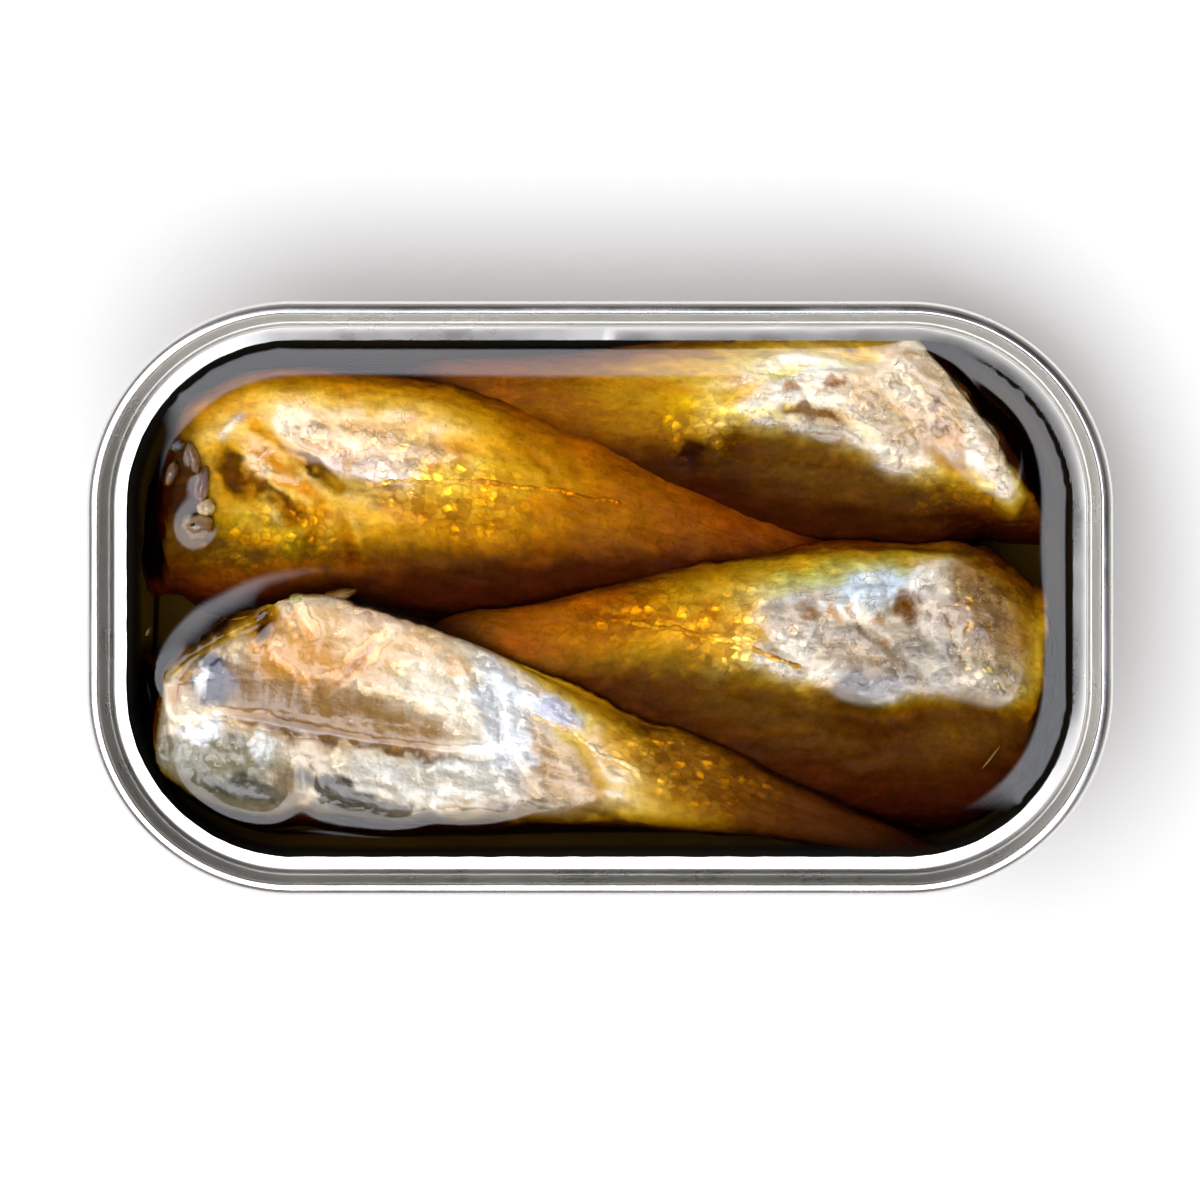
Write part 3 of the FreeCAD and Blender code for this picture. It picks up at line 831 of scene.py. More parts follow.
def neck_plane(fish):
    """A point on the cut that took the head off, and the cut's normal, facing the tail."""
    along = place(fish.bend) - place(fish.neck)
    turn = math.atan2(along[1], along[0]) + math.radians(fish.neck_cut[0])
    slope = math.radians(fish.neck_cut[1])
    normal = (math.cos(slope) * math.cos(turn), math.cos(slope) * math.sin(turn), -math.sin(slope))
    return np.array([*place(fish.neck), OIL_LEVEL]), np.array(normal)


def rim_distance(xy, inset):
    """Distance in plan outside the tin's outline moved in by inset, and which way is out."""
    half = np.array([TIN_LENGTH / 2, TIN_WIDTH / 2]) - CORNER_RADIUS
    beyond = np.abs(xy) - half
    corner = np.maximum(beyond, 0)
    length = np.linalg.norm(corner, axis=-1)
    distance = length + np.minimum(beyond.max(axis=-1), 0) - (CORNER_RADIUS - inset)
    flat = (beyond == beyond.max(axis=-1, keepdims=True)) * 1.0
    out = np.where(length[..., None] > 1e-9, corner / (length[..., None] + 1e-12), flat)
    return distance, out * np.sign(xy)


def wall_inset(z):
    """Inset of the wall's inside face at a height."""
    low, high = SHEET / 2, SEAM_BOTTOM - SHEET
    share = np.clip((z - low) / (high - low), 0, 1)
    lift = np.clip((BASE_RADIUS - z) / BASE_RADIUS, 0, 1)
    return 4 * SHEET + WALL_DRAFT * (1 - share) + BASE_RADIUS * (1 - np.sqrt(1 - lift**2))


def keep_in_tin(points):
    """Pushes points in from the wall, and down where the ledge is above them."""
    past_wall, out = rim_distance(points[..., :2], wall_inset(points[..., 2]))
    points[..., :2] -= out * np.clip(past_wall + WALL_CLEARANCE, 0, None)[..., None]
    past_ledge, _ = rim_distance(points[..., :2], OPENING_INSET + RING_CLEARANCE)
    z = points[..., 2]
    limit = OIL_LEVEL + BACK_ABOVE_OIL * smooth_step(0.0, LEDGE_REACH, -past_ledge)
    z = np.where(past_ledge > -LEDGE_REACH, np.minimum(z, limit), z)
    points[..., 2] = np.maximum(z, SHEET + BASE_CLEARANCE)
    return points


def near_line(xy, line):
    """Distance in plan to a line through the points."""
    best = np.full(xy.shape[:-1], 1e9)
    for a, b in zip(line, line[1:]):
        a, b = np.array(a), np.array(b)
        share = np.clip(((xy - a) @ (b - a)) / ((b - a) @ (b - a)), 0, 1)
        best = np.minimum(best, np.linalg.norm(xy - a - share[..., None] * (b - a), axis=-1))
    return best


def skin_relief(fish, along, round_it, xy, seed):
    """How far the skin stands off the smooth fish, with its creases and its grain."""
    lumps = fractal(along, round_it, 8, 3, seed)
    warp = 1.2 * fractal(along, round_it, 3.5, 2, seed + 4)
    creases = 1 - np.abs(fractal((along + warp) * 1.8, round_it * 0.7, 2.4, 4, seed + 1))
    grain = fractal(along, round_it, 0.9, 3, seed + 2)
    ripples = fractal(0.5 * along + warp, 1.3 * round_it, 3.2, 3, seed + 5)
    relief = LUMPS * lumps + RIPPLES * ripples + CREASES * (creases - 0.75) + GRAIN * grain
    ragged = 1 + 0.25 * fractal(xy[..., 0], xy[..., 1], 1.6, 3, seed + 3)
    for line, width, height in fish.folds:
        relief = relief + height * np.exp(-((near_line(xy, line) / (width * ragged)) ** 2))
    return relief, creases, grain


def edge_wander(xy, seeds):
    """How far a patch's ragged edge wanders at each point, along the tin and across it."""
    return np.stack([fractal(xy[..., 0], xy[..., 1], 2.2, 4, seed) for seed in seeds], axis=-1)


def in_patch(xy, wander, patch, limits):
    """1 in the heart of a turned, ragged oval patch, falling to 0 at its edge."""
    centre, radii, turn = patch
    cosine, sine = math.cos(math.radians(turn)), math.sin(math.radians(turn))
    across = np.array([[cosine, -sine], [sine, cosine]])
    local = (xy - np.array(centre) + PATCH_WANDER * wander) @ across / np.array(radii)
    return smooth_step(*limits, np.linalg.norm(local, axis=-1))


def patch_cover(xy, patches, seed):
    """How far each point lies within one of the ragged patches, from 0 to 1."""
    wander = edge_wander(xy, (seed + 13, seed + 14))
    cover = np.zeros(xy.shape[:-1])
    for patch in patches:
        cover = np.maximum(cover, in_patch(xy, wander, patch, SCALY_EDGE))
    return cover


def through_oil(colour, depth):
    """What is left of a colour under this depth of oil."""
    return colour * np.exp(-OIL_TAKES * depth)


def skin_colour(fish, points, creases, grain, seed):
    """Colour of the skin under its oil, with its painted shade, how deep it lies, and how silvery
    it is.
    """
    xy = points[..., :2]
    wander = edge_wander(xy, (seed + 11, seed + 12))
    colour = np.broadcast_to(fish.skin, points.shape).copy()
    for *patch, mark, strength in fish.marks:
        cover = strength * in_patch(xy, wander, patch, MARK_EDGE)
        colour += (mark - colour) * cover[..., None]
    # Below the back line: the dark back, and painted shade on the deep lower flank
    line_x, line_y = np.array(fish.back_line).T
    below = np.interp(xy[..., 0], line_x, line_y) - xy[..., 1] + 0.8 * wander[..., 0]
    colour += (DARK_BACK_AND_SHADE - colour) * BACK_AND_SHADE_DARKENING * smooth_step(*BACK_AND_SHADE_EDGE, below)[..., None]
    # Painted shade in the creases
    colour *= SKIN_LIGHT * (1 - CREASE_SHADE * smooth_step(0.85, 0.98, creases)[..., None])
    colour *= 1 + SKIN_GRAIN_SHADE * grain[..., None]
    palest = colour.max(axis=-1)
    silvery = np.clip(1.3 - 2.4 * (palest - colour.min(axis=-1)) / palest, 0.1, 1)
    depth = np.clip(OIL_LEVEL - points[..., 2], 0, None)
    # Painted shade: sunk skin grows darker with depth, besides the oil's tint
    colour *= 1 - fish.murk * smooth_step(*DEPTH_SHADE_RANGE, depth)[..., None]
    tinting_depth = OIL_FADE * (1 - np.exp(-depth / OIL_FADE))
    colour = through_oil(colour, tinting_depth[..., None])
    return np.clip(colour, 0.0008, 0.95), depth, silvery


def calculate(tree, operation, a, b):
    """A step of arithmetic between two sockets or numbers."""
    return add_node(tree, "ShaderNodeMath", {0: a, 1: b}, operation=operation).outputs["Value"]


def fish_skin_material(name, specular, coat, mottling_and_highlights, wrinkle, shine_share, crackle):
    """Oily skin: painted colour, stains, fibres, wrinkles, scales with painted glints and painted
    shade at their edges, painted highlight patches and a silvery gleam.
    """
    made = bpy.data.materials.new(name)
    made.use_nodes = True
    tree = made.node_tree
    run = add_node(tree, "ShaderNodeUVMap", uv_map="run").outputs["UV"]
    wander = add_node(tree, "ShaderNodeTexNoise", {"Vector": run, "Scale": 1300.0})
    wandering = add_node(
        tree,
        "ShaderNodeVectorMath",
        {0: wander.outputs["Color"], 1: (0.0011, 0.0011, 0), 2: run},
        operation="MULTIPLY_ADD",
    ).outputs["Vector"]

    def mottle(along, across, detail, distortion=0.0):
        """Noise with this many features to the metre along the fish and across it."""
        return noise(tree, stretched(tree, run, (along, across, 1)), 1.0, detail, distortion)

    def cells(along, across, feature, output):
        """Skin cells or scales, this many to the metre along the fish and across it."""
        given = {"Vector": stretched(tree, wandering, (along, across, 1)), "Scale": 1.0}
        node = add_node(
            tree, "ShaderNodeTexVoronoi", given, voronoi_dimensions="2D", feature=feature
        )
        return node.outputs[output]

    def attribute(name, output):
        """What was stored on the mesh under a name."""
        return add_node(tree, "ShaderNodeAttribute", attribute_name=name).outputs[output]

    def tinted(colour, tint, factor):
        """A colour multiplied by a tint, as far as the factor says."""
        given = {"Factor": factor, "A": colour, "B": (*tint, 1)}
        node = add_node(tree, "ShaderNodeMix", given, data_type="RGBA", blend_type="MULTIPLY")
        return node.outputs["Result"]

    def times(first, *others):
        """The product of some sockets or numbers."""
        for other in others:
            first = calculate(tree, "MULTIPLY", first, other)
        return first

    scaly, gleam, worn_and_highlit = (attribute(name, "Fac") for name in ("scaly", "gleam", "worn_and_highlit"))
    stains = remap(tree, mottle(150, 300, 5, 0.2), 0.46, 0.68, 0.0, 0.8 * mottling_and_highlights)
    # Painted highlight patches: noise that brightens the colour where wet skin would catch the
    # light
    highlight_patches = remap(tree, mottle(300, 430, 5, 0.2), 0.53, 0.66, 0.0, mottling_and_highlights)
    specks = remap(tree, mottle(1700, 2100, 3), 0.66, 0.74, 0.0, 0.6)
    streaks = remap(tree, mottle(300, 640, 5, 0.1), 0.44, 0.66, 0.0, 0.6 * mottling_and_highlights)
    colour = attribute("skin", "Color")
    for tint, amount in (
        ((1.0, 0.74, 0.46), stains),
        ((1.4, 1.36, 1.2), highlight_patches),
        ((0.45, 0.30, 0.16), specks),
        ((0.55, 0.46, 0.34), streaks),
    ):
        colour = tinted(colour, tint, times(amount, worn_and_highlit))
    # Each scale is brighter or darker as a whole, the brightest with painted glints, and a painted
    # shade darkens its edge under its neighbour
    scales = (860, 1050)
    one_scale = add_node(tree, "ShaderNodeSeparateColor", {"Color": cells(*scales, "F1", "Color")})
    flakes = one_scale.outputs["Red"]
    to_edge = cells(*scales, "DISTANCE_TO_EDGE", "Distance")
    scale_edge_shade = remap(tree, to_edge, 0.20, 0.03, 0.0, 0.45)
    dark_flakes = remap(tree, flakes, 0.42, 0.2, 0.0, 0.7)
    edge_shade_and_dark_scales = times(calculate(tree, "MAXIMUM", scale_edge_shade, dark_flakes), scaly)
    middle = remap(tree, cells(*scales, "F1", "Distance"), 0.50, 0.22, 0.0, 1.0)
    # Painted glints: the brightest scales are brightened in colour, and are also made metallic
    painted_and_metal_glints = times(remap(tree, flakes, 0.62, 0.76, 0.0, 1.0), scaly, middle)
    colour = tinted(colour, (0.45, 0.33, 0.14), edge_shade_and_dark_scales)
    colour = tinted(colour, (1.7, 1.6, 1.2), painted_and_metal_glints)
    # Fine cracks where the skin has dried and torn
    to_crack = cells(1500, 1200, "DISTANCE_TO_EDGE", "Distance")
    cracked = remap(tree, mottle(420, 520, 5), 0.50, 0.62, 0.0, 1.0)
    cracks = times(remap(tree, to_crack, 0.12, 0.02, 0.0, crackle), cracked, worn_and_highlit)
    colour = tinted(colour, (0.42, 0.30, 0.20), cracks)
    patches = remap(tree, mottle(300, 600, 4), 0.42, 0.60, 0.15, 0.75)
    silver = times(gleam, patches, shine_share)
    wrinkles = calculate(tree, "ADD", mottle(560, 520, 5, 0.2), mottle(330, 800, 4, 0.1))
    steps = calculate(tree, "SUBTRACT", times(flakes, scaly, 0.8), times(cracks, 0.5))
    relief = calculate(tree, "ADD", wrinkles, steps)
    finish = {
        "Base Color": colour,
        "Metallic": calculate(tree, "MAXIMUM", silver, times(painted_and_metal_glints, 0.8)),
        "Roughness": remap(tree, mottle(700, 900, 3), 0.3, 0.7, 0.26, 0.44),
        "Specular IOR Level": specular,
        "Coat Weight": coat,
        "Coat Roughness": 0.12,
        "Normal": bumped(tree, relief, wrinkle, 0.0005),
    }
    fill(tree.nodes["Principled BSDF"], finish)
    return made


SUNK_SKIN = fish_skin_material(
    "fish_skin_in_oil",
    specular=0.02,
    coat=0.0,
    mottling_and_highlights=0.9,
    wrinkle=0.5,
    shine_share=1.0,
    crackle=0.15,
)
BARE_SKIN = fish_skin_material(
    "fish_skin_above_oil",
    specular=0.5,
    coat=0.7,
    mottling_and_highlights=0.75,
    wrinkle=0.4,
    shine_share=0.35,
    crackle=0.6,
)


def paint_mesh(mesh, colours, gleams, scalies, run, wear):
    """Stores what the skin's material reads: colour, gleam, scales, wear with the painted
    highlights' strength, and the grain's run.
    """
    attribute = mesh.attributes.new("skin", "FLOAT_COLOR", "POINT")
    rgba = np.concatenate([colours, np.ones((len(colours), 1))], axis=1)
    attribute.data.foreach_set("color", rgba.astype(np.float32).ravel())
    for name, values in (("gleam", gleams), ("scaly", scalies), ("worn_and_highlit", wear + 0 * gleams)):
        attribute = mesh.attributes.new(name, "FLOAT", "POINT")
        attribute.data.foreach_set("value", values.astype(np.float32))
    vertex_of_loop = np.zeros(len(mesh.loops), dtype=int)
    mesh.loops.foreach_get("vertex_index", vertex_of_loop)
    uv = mesh.uv_layers.new(name="run")
    uv.data.foreach_set("uv", run[vertex_of_loop].astype(np.float32).ravel())


def starts_at_cut(fish, angle, seed):
    """Where each line along the fish meets the bulging, ragged plane of the cut."""
    middle, normal = neck_plane(fish)
    trial = np.linspace(NECK_START, NECK_END, 200)
    surface = fish_surface(fish, *np.broadcast_arrays(trial[:, None], angle[None, :]))
    ragged = fractal(4 * np.cos(angle), 4 * np.sin(angle), 1.6, 3, seed + 6)
    bulge = NECK_BULGE * (np.abs(np.sin(angle)) - 0.5)
    beyond = (surface - middle) @ normal - (NECK_RAGGED * (1 + ragged) - bulge)[None, :]
    return trial[np.argmax(beyond > 0, axis=0)]


def outward(smooth, centre):
    """Which way is out of the fish at each point of its smooth grid."""
    along_it = np.gradient(smooth, axis=0)
    round_it = np.roll(smooth, -1, axis=1) - np.roll(smooth, 1, axis=1)
    out = np.cross(along_it, round_it)
    out /= np.linalg.norm(out, axis=-1, keepdims=True) + 1e-12
    return out * np.sign((out * (smooth - centre)).sum(axis=-1, keepdims=True))


def cut_face(fish, rim, seed):
    """Rings of the hollow cut face, from its rim inwards, and the colours of its flesh."""
    _, normal = neck_plane(fish)
    hub = rim.mean(axis=0)
    rings, colours = [], []
    for number in range(1, CAP_RINGS):
        inwards = number / CAP_RINGS
        ring_of_points = rim + (hub - rim) * inwards
        rough = fractal(ring_of_points[:, 1], ring_of_points[:, 2], 2.5, 3, seed + 5)[:, None]
        dent = CUT_ROUGHNESS * rough - CUT_HOLLOW * smooth_step(0, 0.4, inwards)
        rings.append(keep_in_tin(ring_of_points + normal * dent))
        depth = np.clip(OIL_LEVEL - ring_of_points[:, 2:], 0, None)
        shade = through_oil(through_oil(CUT_FLESH, OIL_OVER_CUT), depth) * (1 + 0.3 * rough)
        colours.append(np.clip(shade, 0.0005, 1))
    return rings, colours


def make_fish(fish, seed):
    """One fish as a closed mesh: skin from the cut to the tail, and flesh at both ends."""
    back = even_angles(fish, 0, math.pi, BACK_COLUMNS)
    belly = even_angles(fish, math.pi, 2 * math.pi, BELLY_COLUMNS)
    angle = np.concatenate([back, belly])
    columns = len(angle)
    start = starts_at_cut(fish, angle, seed)[None, :]
    share = np.linspace(0, 1, ROWS)[:, None]
    t = start + (1 - start) * share
    smooth = fish_surface(fish, t, np.broadcast_to(angle[None, :], t.shape))
    centre = smooth.mean(axis=1, keepdims=True)
    length = np.linalg.norm(place(fish.tail) - place(fish.neck))
    steps = np.linalg.norm(smooth - np.roll(smooth, 1, axis=1), axis=-1)
    around = np.cumsum(steps, axis=1)
    around -= around[:, [BACK_COLUMNS // 2]]
    relief, creases, grain = skin_relief(fish, t * length, around, smooth[..., :2], seed)
    from_cut = np.clip(share * length / NECK_ROUND, 0, 1)
    rounding = NECK_ROUND * (np.sqrt(1 - (1 - from_cut) ** 2) - 1)
    height = relief * smooth_step(1, 0.97, share) + rounding
    points = smooth + outward(smooth, centre) * height[..., None]
    tip = np.clip((share - TIP_START) / (1 - TIP_START), 0, TIP_CLOSING)[..., None]
    points = keep_in_tin(centre + (points - centre) * np.sqrt(1 - tip**2))
    colour, depth, silvery = skin_colour(fish, points, creases, grain, seed)
    colour *= 1 - TAIL_DARKENING * smooth_step(0.86, 1.0, share)[..., None]
    gleam = silvery * np.exp(-GLEAM_FADE * depth)
    scaly = patch_cover(points[..., :2], fish.scales, seed)
    rings, ring_colours = cut_face(fish, points[0], seed)
    layers = [*rings[::-1], *points]
    colours = [*ring_colours[::-1], *colour]
    no_skin = [np.zeros(columns)] * len(rings)
    grid = np.arange(len(layers) * columns).reshape(len(layers), columns)
    faces = [*strip_faces(grid[:-1], grid[1:]), grid[0][::-1], grid[-1]]
    thing = new_object(fish.name + "_skin", np.concatenate(layers), faces, SUNK_SKIN)
    mesh = thing.data
    mesh.materials.append(BARE_SKIN)
    for face in mesh.polygons:
        face.material_index = int(face.center.z * 1000 > OIL_LEVEL - 0.05)
    # Runs along the fish and round its back, in metres, so that the grain follows the skin
    on_cut = -0.5 * np.arange(len(rings), 0, -1)[:, None] + 0 * angle
    along_fish = np.concatenate([on_cut, t * length])
    round_fish = np.concatenate([0 * on_cut + around[0], around])
    run = np.stack([along_fish, round_fish], axis=-1)
    run = (run.reshape(-1, 2) + seed) * 0.001
    stored = (colours, no_skin + list(gleam), no_skin + list(scaly))
    paint_mesh(mesh, *(np.concatenate(part) for part in stored), run, fish.wear)
    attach(thing, "root")
    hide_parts(fish.name)
    return thing


shoal = [make_fish(fish, 100 * (number + 1)) for number, fish in enumerate(FISH)]


# --- Shreds of flesh --------------------------------------------------------------
# Torn bits that were left where the heads came off, and a few flakes and a loose bone on
# the backs.  They just stand out of the oil, which climbs round each of them.

SHRED_COLUMNS = 28
SHRED_ROWS = 16
SHRED_DEPTH = 3.0
SHRED_POLE = 0.02  # angle left open at each end, which one flat face closes
SHRED_SEED = 900

# Middle in plan, radii, turn, how far the top stands out of the oil, and colour
SHREDS = [
    ((-41.2, 7.4), (1.6, 1.3), 0, 0.75, paint(142, 118, 88)),
    ((-40.2, 9.3), (1.0, 0.9), 30, 0.60, paint(196, 176, 140)),
    ((-41.5, 7.5), (0.6, 0.4), 30, 0.90, paint(52, 34, 22)),
    ((30.4, 24.1), (1.1, 0.12), 42, 0.95, paint(60, 40, 28)),
    ((40.0, -16.2), (1.5, 0.10), 52, 0.12, paint(210, 180, 150)),
    ((-46.2, -3.4), (0.5, 0.2), 60, 0.10, paint(150, 130, 120)),
    ((-40.6, 11.6), (0.8, 1.9), -8, 0.50, paint(120, 96, 92)),
    ((-41.6, 14.4), (0.7, 1.8), 14, 0.50, paint(128, 104, 84)),
    ((-43.2, 15.6), (0.8, 0.6), 20, 0.40, paint(96, 100, 120)),
    ((-43.8, 12.8), (0.6, 1.3), -20, 0.40, paint(120, 100, 90)),
    ((-30.9, -0.2), (1.0, 0.6), 10, 0.80, paint(190, 205, 150)),
    ((-26.6, 0.3), (1.7, 0.6), 12, 0.45, paint(120, 90, 50)),
]

shred_points, shred_faces, shred_colours = [], [], []
across = np.linspace(0, 2 * math.pi, SHRED_COLUMNS, endpoint=False)[None, :]
down = np.linspace(SHRED_POLE, math.pi - SHRED_POLE, SHRED_ROWS)[:, None]
for number, (middle, radii, turn, stands, colour) in enumerate(SHREDS):
    relief_x = 3 * np.cos(across) * np.sin(down)
    relief_y = 3 * np.sin(across) + 2 * down
    ragged = fractal(relief_x, relief_y, 1.6, 4, SHRED_SEED + number)
    swell = 1 + 0.22 * ragged
    x = np.sin(down) * np.cos(across) * radii[0] * swell
    y = np.sin(down) * np.sin(across) * radii[1] * swell
    middle_height = OIL_LEVEL + stands - SHRED_DEPTH / 2
    z = middle_height + np.cos(down) * SHRED_DEPTH / 2 * (0.95 + 0.05 * swell)
    cosine, sine = math.cos(math.radians(turn)), math.sin(math.radians(turn))
    turned_x = middle[0] + x * cosine - y * sine
    turned_y = middle[1] + x * sine + y * cosine
    grid = np.arange(SHRED_ROWS * SHRED_COLUMNS).reshape(SHRED_ROWS, SHRED_COLUMNS)
    grid += number * SHRED_ROWS * SHRED_COLUMNS
    shred_faces += [*strip_faces(grid[:-1], grid[1:]), grid[0][::-1], grid[-1]]
    shred_points.append(np.stack([turned_x, turned_y, z], axis=-1).reshape(-1, 3))
    depth = np.clip(OIL_LEVEL - z, 0, None)[..., None]
    shade = through_oil(colour, depth) * (1 + 0.25 * ragged[..., None])
    shred_colours.append(np.clip(shade, 0.001, 0.9).reshape(-1, 3))
shred_points, shred_colours = np.concatenate(shred_points), np.concatenate(shred_colours)
shreds = new_object("neck_shreds", shred_points, shred_faces, BARE_SKIN)
nothing = np.zeros(len(shred_points))
paint_mesh(shreds.data, shred_colours, nothing + 0.3, nothing, shred_points[:, :2] * 0.001, 1.0)
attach(shreds, "root")


# --- Scutes -----------------------------------------------------------------------
# The row of small bony plates that runs along each side of a horse mackerel.  They grow
# in the skin, and a stretch of one row shows on each of three of the fish.

# Which fish, the plates' colour, how far they glint as scales do, and the line in plan
SCUTE_ROWS = [
    (0, paint(236, 216, 170), 0.0, [(-6.4, -12.2), (-3.2, -13.4), (-0.2, -15.6), (3.5, -17.6)]),
    (1, paint(250, 206, 110), 1.0, [(1.5, -2.2), (8, -3.2), (14, -4.6), (20, -6.8)]),
    (2, paint(250, 206, 110), 1.0, [(-22, 11.8), (-14, 12.0), (-6, 11.2), (2, 9.8)]),
]
SCUTE_SPACING = 0.7
SCUTE_SIZE = 0.34
SCUTE_PROPORTIONS = (1.5, 0.85, 0.3)
SCUTE_VARIES = (0.65, 1.25)
SCUTE_SEED = 7
SCUTE_ROW_POINTS = 60
SCUTE_ROW_WAVER = 0.25
SCUTE_ROW_WAVER_LENGTH = 0.8
SCUTE_LIFT = 0.02
SCUTE_OIL = 0.8  # share of the oil's tint, as the plates are brighter than skin


def scute_tree(material):
    """Plates placed along a line, each turned to follow it."""
    tree = bpy.data.node_groups.new("scute_row", "GeometryNodeTree")
    sockets = tree.interface
    sockets.new_socket("Line", in_out="INPUT", socket_type="NodeSocketGeometry")
    for name, kind in (("Spacing", "Float"), ("Plate Size", "Float"), ("Seed", "Int")):
        sockets.new_socket(name, in_out="INPUT", socket_type="NodeSocket" + kind)
    sockets.new_socket("Plates", in_out="OUTPUT", socket_type="NodeSocketGeometry")
    asked = add_node(tree, "NodeGroupInput").outputs
    curve = add_node(tree, "GeometryNodeMeshToCurve", {"Mesh": asked["Line"]})
    spaced = {"Curve": curve.outputs["Curve"], "Length": asked["Spacing"]}
    stations = add_node(tree, "GeometryNodeResampleCurve", spaced, mode="LENGTH")
    ball = add_node(tree, "GeometryNodeMeshUVSphere", {"Segments": 12, "Rings": 7, "Radius": 1.0})
    flattened = {"Geometry": ball.outputs["Mesh"], "Scale": SCUTE_PROPORTIONS}
    plate = add_node(tree, "GeometryNodeTransform", flattened)
    tangent = add_node(tree, "GeometryNodeInputTangent").outputs["Tangent"]
    turn = add_node(tree, "FunctionNodeAlignRotationToVector", {"Vector": tangent}, axis="X")
    least, most = SCUTE_VARIES
    varied = {2: least, 3: most, "Seed": asked["Seed"]}
    vary = add_node(tree, "FunctionNodeRandomValue", varied, data_type="FLOAT")
    placed = {
        "Points": stations.outputs["Curve"],
        "Instance": plate.outputs["Geometry"],
        "Rotation": turn.outputs["Rotation"],
        "Scale": calculate(tree, "MULTIPLY", vary.outputs[1], asked["Plate Size"]),
    }
    row = add_node(tree, "GeometryNodeInstanceOnPoints", placed).outputs["Instances"]
    made_real = add_node(tree, "GeometryNodeRealizeInstances", {"Geometry": row})
    finish = {"Geometry": made_real.outputs["Geometry"], "Material": material}
    covered = add_node(tree, "GeometryNodeSetMaterial", finish)
    add_node(tree, "NodeGroupOutput", {"Plates": covered.outputs["Geometry"]})
    return tree


def surface_tree(thing):
    """A tree that finds where a straight line meets the object, in millimetres."""
    mesh = thing.data
    points = [v.co * 1000 for v in mesh.vertices]
    return BVHTree.FromPolygons(points, [face.vertices for face in mesh.polygons])


def height_at(tree, x, y):
    """Height of the highest surface at a point in plan, or nothing where there is none."""
    hit = tree.ray_cast(Vector((x, y, TIN_HEIGHT)), Vector((0, 0, -1)))[0]
    return None if hit is None else hit.z


for number, (owner, colour, glint, line) in enumerate(SCUTE_ROWS):
    share = np.linspace(0, len(line) - 1, SCUTE_ROW_POINTS)
    x, y = (np.interp(share, range(len(line)), column) for column in zip(*line))
    x = x + SCUTE_ROW_WAVER * fractal(share, share, SCUTE_ROW_WAVER_LENGTH, 3, 40 + number)
    y = y + SCUTE_ROW_WAVER * fractal(share, share, SCUTE_ROW_WAVER_LENGTH, 3, 60 + number)
    back_of_owner = surface_tree(shoal[owner])
    z = np.array([height_at(back_of_owner, a, b) for a, b in zip(x, y)]) + SCUTE_LIFT
    mesh = bpy.data.meshes.new("scute_line")
    edges = [(i, i + 1) for i in range(len(x) - 1)]
    mesh.from_pydata(np.stack([x, y, z], axis=-1) * 0.001, edges, [])
    mesh.materials.append(SUNK_SKIN)
    scutes = bpy.data.objects.new(FISH[owner].name + "_scutes", mesh)
    bpy.context.scene.collection.objects.link(scutes)
    grow = scutes.modifiers.new("plates", "NODES")
    grow.node_group = scute_tree(SUNK_SKIN)
    values = {"Spacing": SCUTE_SPACING / 1000, "Plate Size": SCUTE_SIZE / 1000, "Seed": SCUTE_SEED}
    for socket in grow.node_group.interface.items_tree:
        if socket.name in values:
            grow[socket.identifier] = values[socket.name]
    evaluated = scutes.evaluated_get(bpy.context.evaluated_depsgraph_get())
    plates = bpy.data.meshes.new_from_object(evaluated)
    scutes.modifiers.clear()
    scutes.data = plates
    corners = np.zeros(len(plates.vertices) * 3)
    plates.vertices.foreach_get("co", corners)
    corners = corners.reshape(-1, 3) * 1000
    depth = np.clip(OIL_LEVEL - corners[:, 2:], 0, None)
    shade = np.clip(through_oil(SKIN_LIGHT * colour, SCUTE_OIL * depth), 0.001, 0.9)
    nothing = np.zeros(len(corners))
    plates.polygons.foreach_set("use_smooth", [True] * len(plates.polygons))
    paint_mesh(plates, shade, nothing + 0.5, nothing + glint, corners[:, :2] * 0.001, 1.0)
    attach(scutes, "root")


# --- Oil --------------------------------------------------------------------------
# The clear golden oil that the fish were packed in.  It climbs to the torn ledge and to
# the backs that stand out of it, and those slopes catch the light in pale bands.

GRID_STEP = 0.3
CAPILLARY_LENGTH = 1.9
LEDGE_CLIMB = 1.3
# Where the oil is drawn up the torn shoulder of the lower left fish, and how far
SHOULDER = [(-43.9, -8.0), (-41.7, -5.8), (-38.6, -4.0), (-35.0, -2.4), (-33.4, -1.2)]
SHOULDER_CLIMB = 0.9
RELAX_ROUNDS = 700
NO_FLOOR = -9.0  # far below any level that the oil reaches
TOUCHING = 1e-4
INTO_WALL = 0.05
INTO_FISH = 0.15  # how steeply the surface sinks into a back that stands out of it
INTO_FISH_EDGE = 0.03
INTO_FISH_ROUNDS = 5
WALL_STATIONS = (16.0, 10.0, 4.0, 1.8, 1.0, 0.5, 0.22)  # heights, down to the foot ring
BASE_RUN_IN = 0.4

columns = int(INSIDE_HALF_LENGTH * 2 / GRID_STEP) + 4
rows = int(INSIDE_HALF_WIDTH * 2 / GRID_STEP) + 4
grid_x = (np.arange(columns) - (columns - 1) / 2) * GRID_STEP
grid_y = (np.arange(rows) - (rows - 1) / 2) * GRID_STEP
plan = np.stack(np.meshgrid(grid_x, grid_y), axis=-1)


def backs_from_above(things):
    """Height of the highest back at each point of the grid."""
    backs = np.full(plan.shape[:2], SHEET)
    for tree in [surface_tree(thing) for thing in things]:
        for at in np.ndindex(backs.shape):
            height = height_at(tree, *plan[at])
            if height is not None and height > backs[at]:
                backs[at] = height
    return backs


def neighbours(values, mode):
    """The four neighbours of each point of a grid, padded at its edges."""
    padded = np.pad(values, 1, mode=mode)
    return padded[:-2, 1:-1], padded[2:, 1:-1], padded[1:-1, :-2], padded[1:-1, 2:]


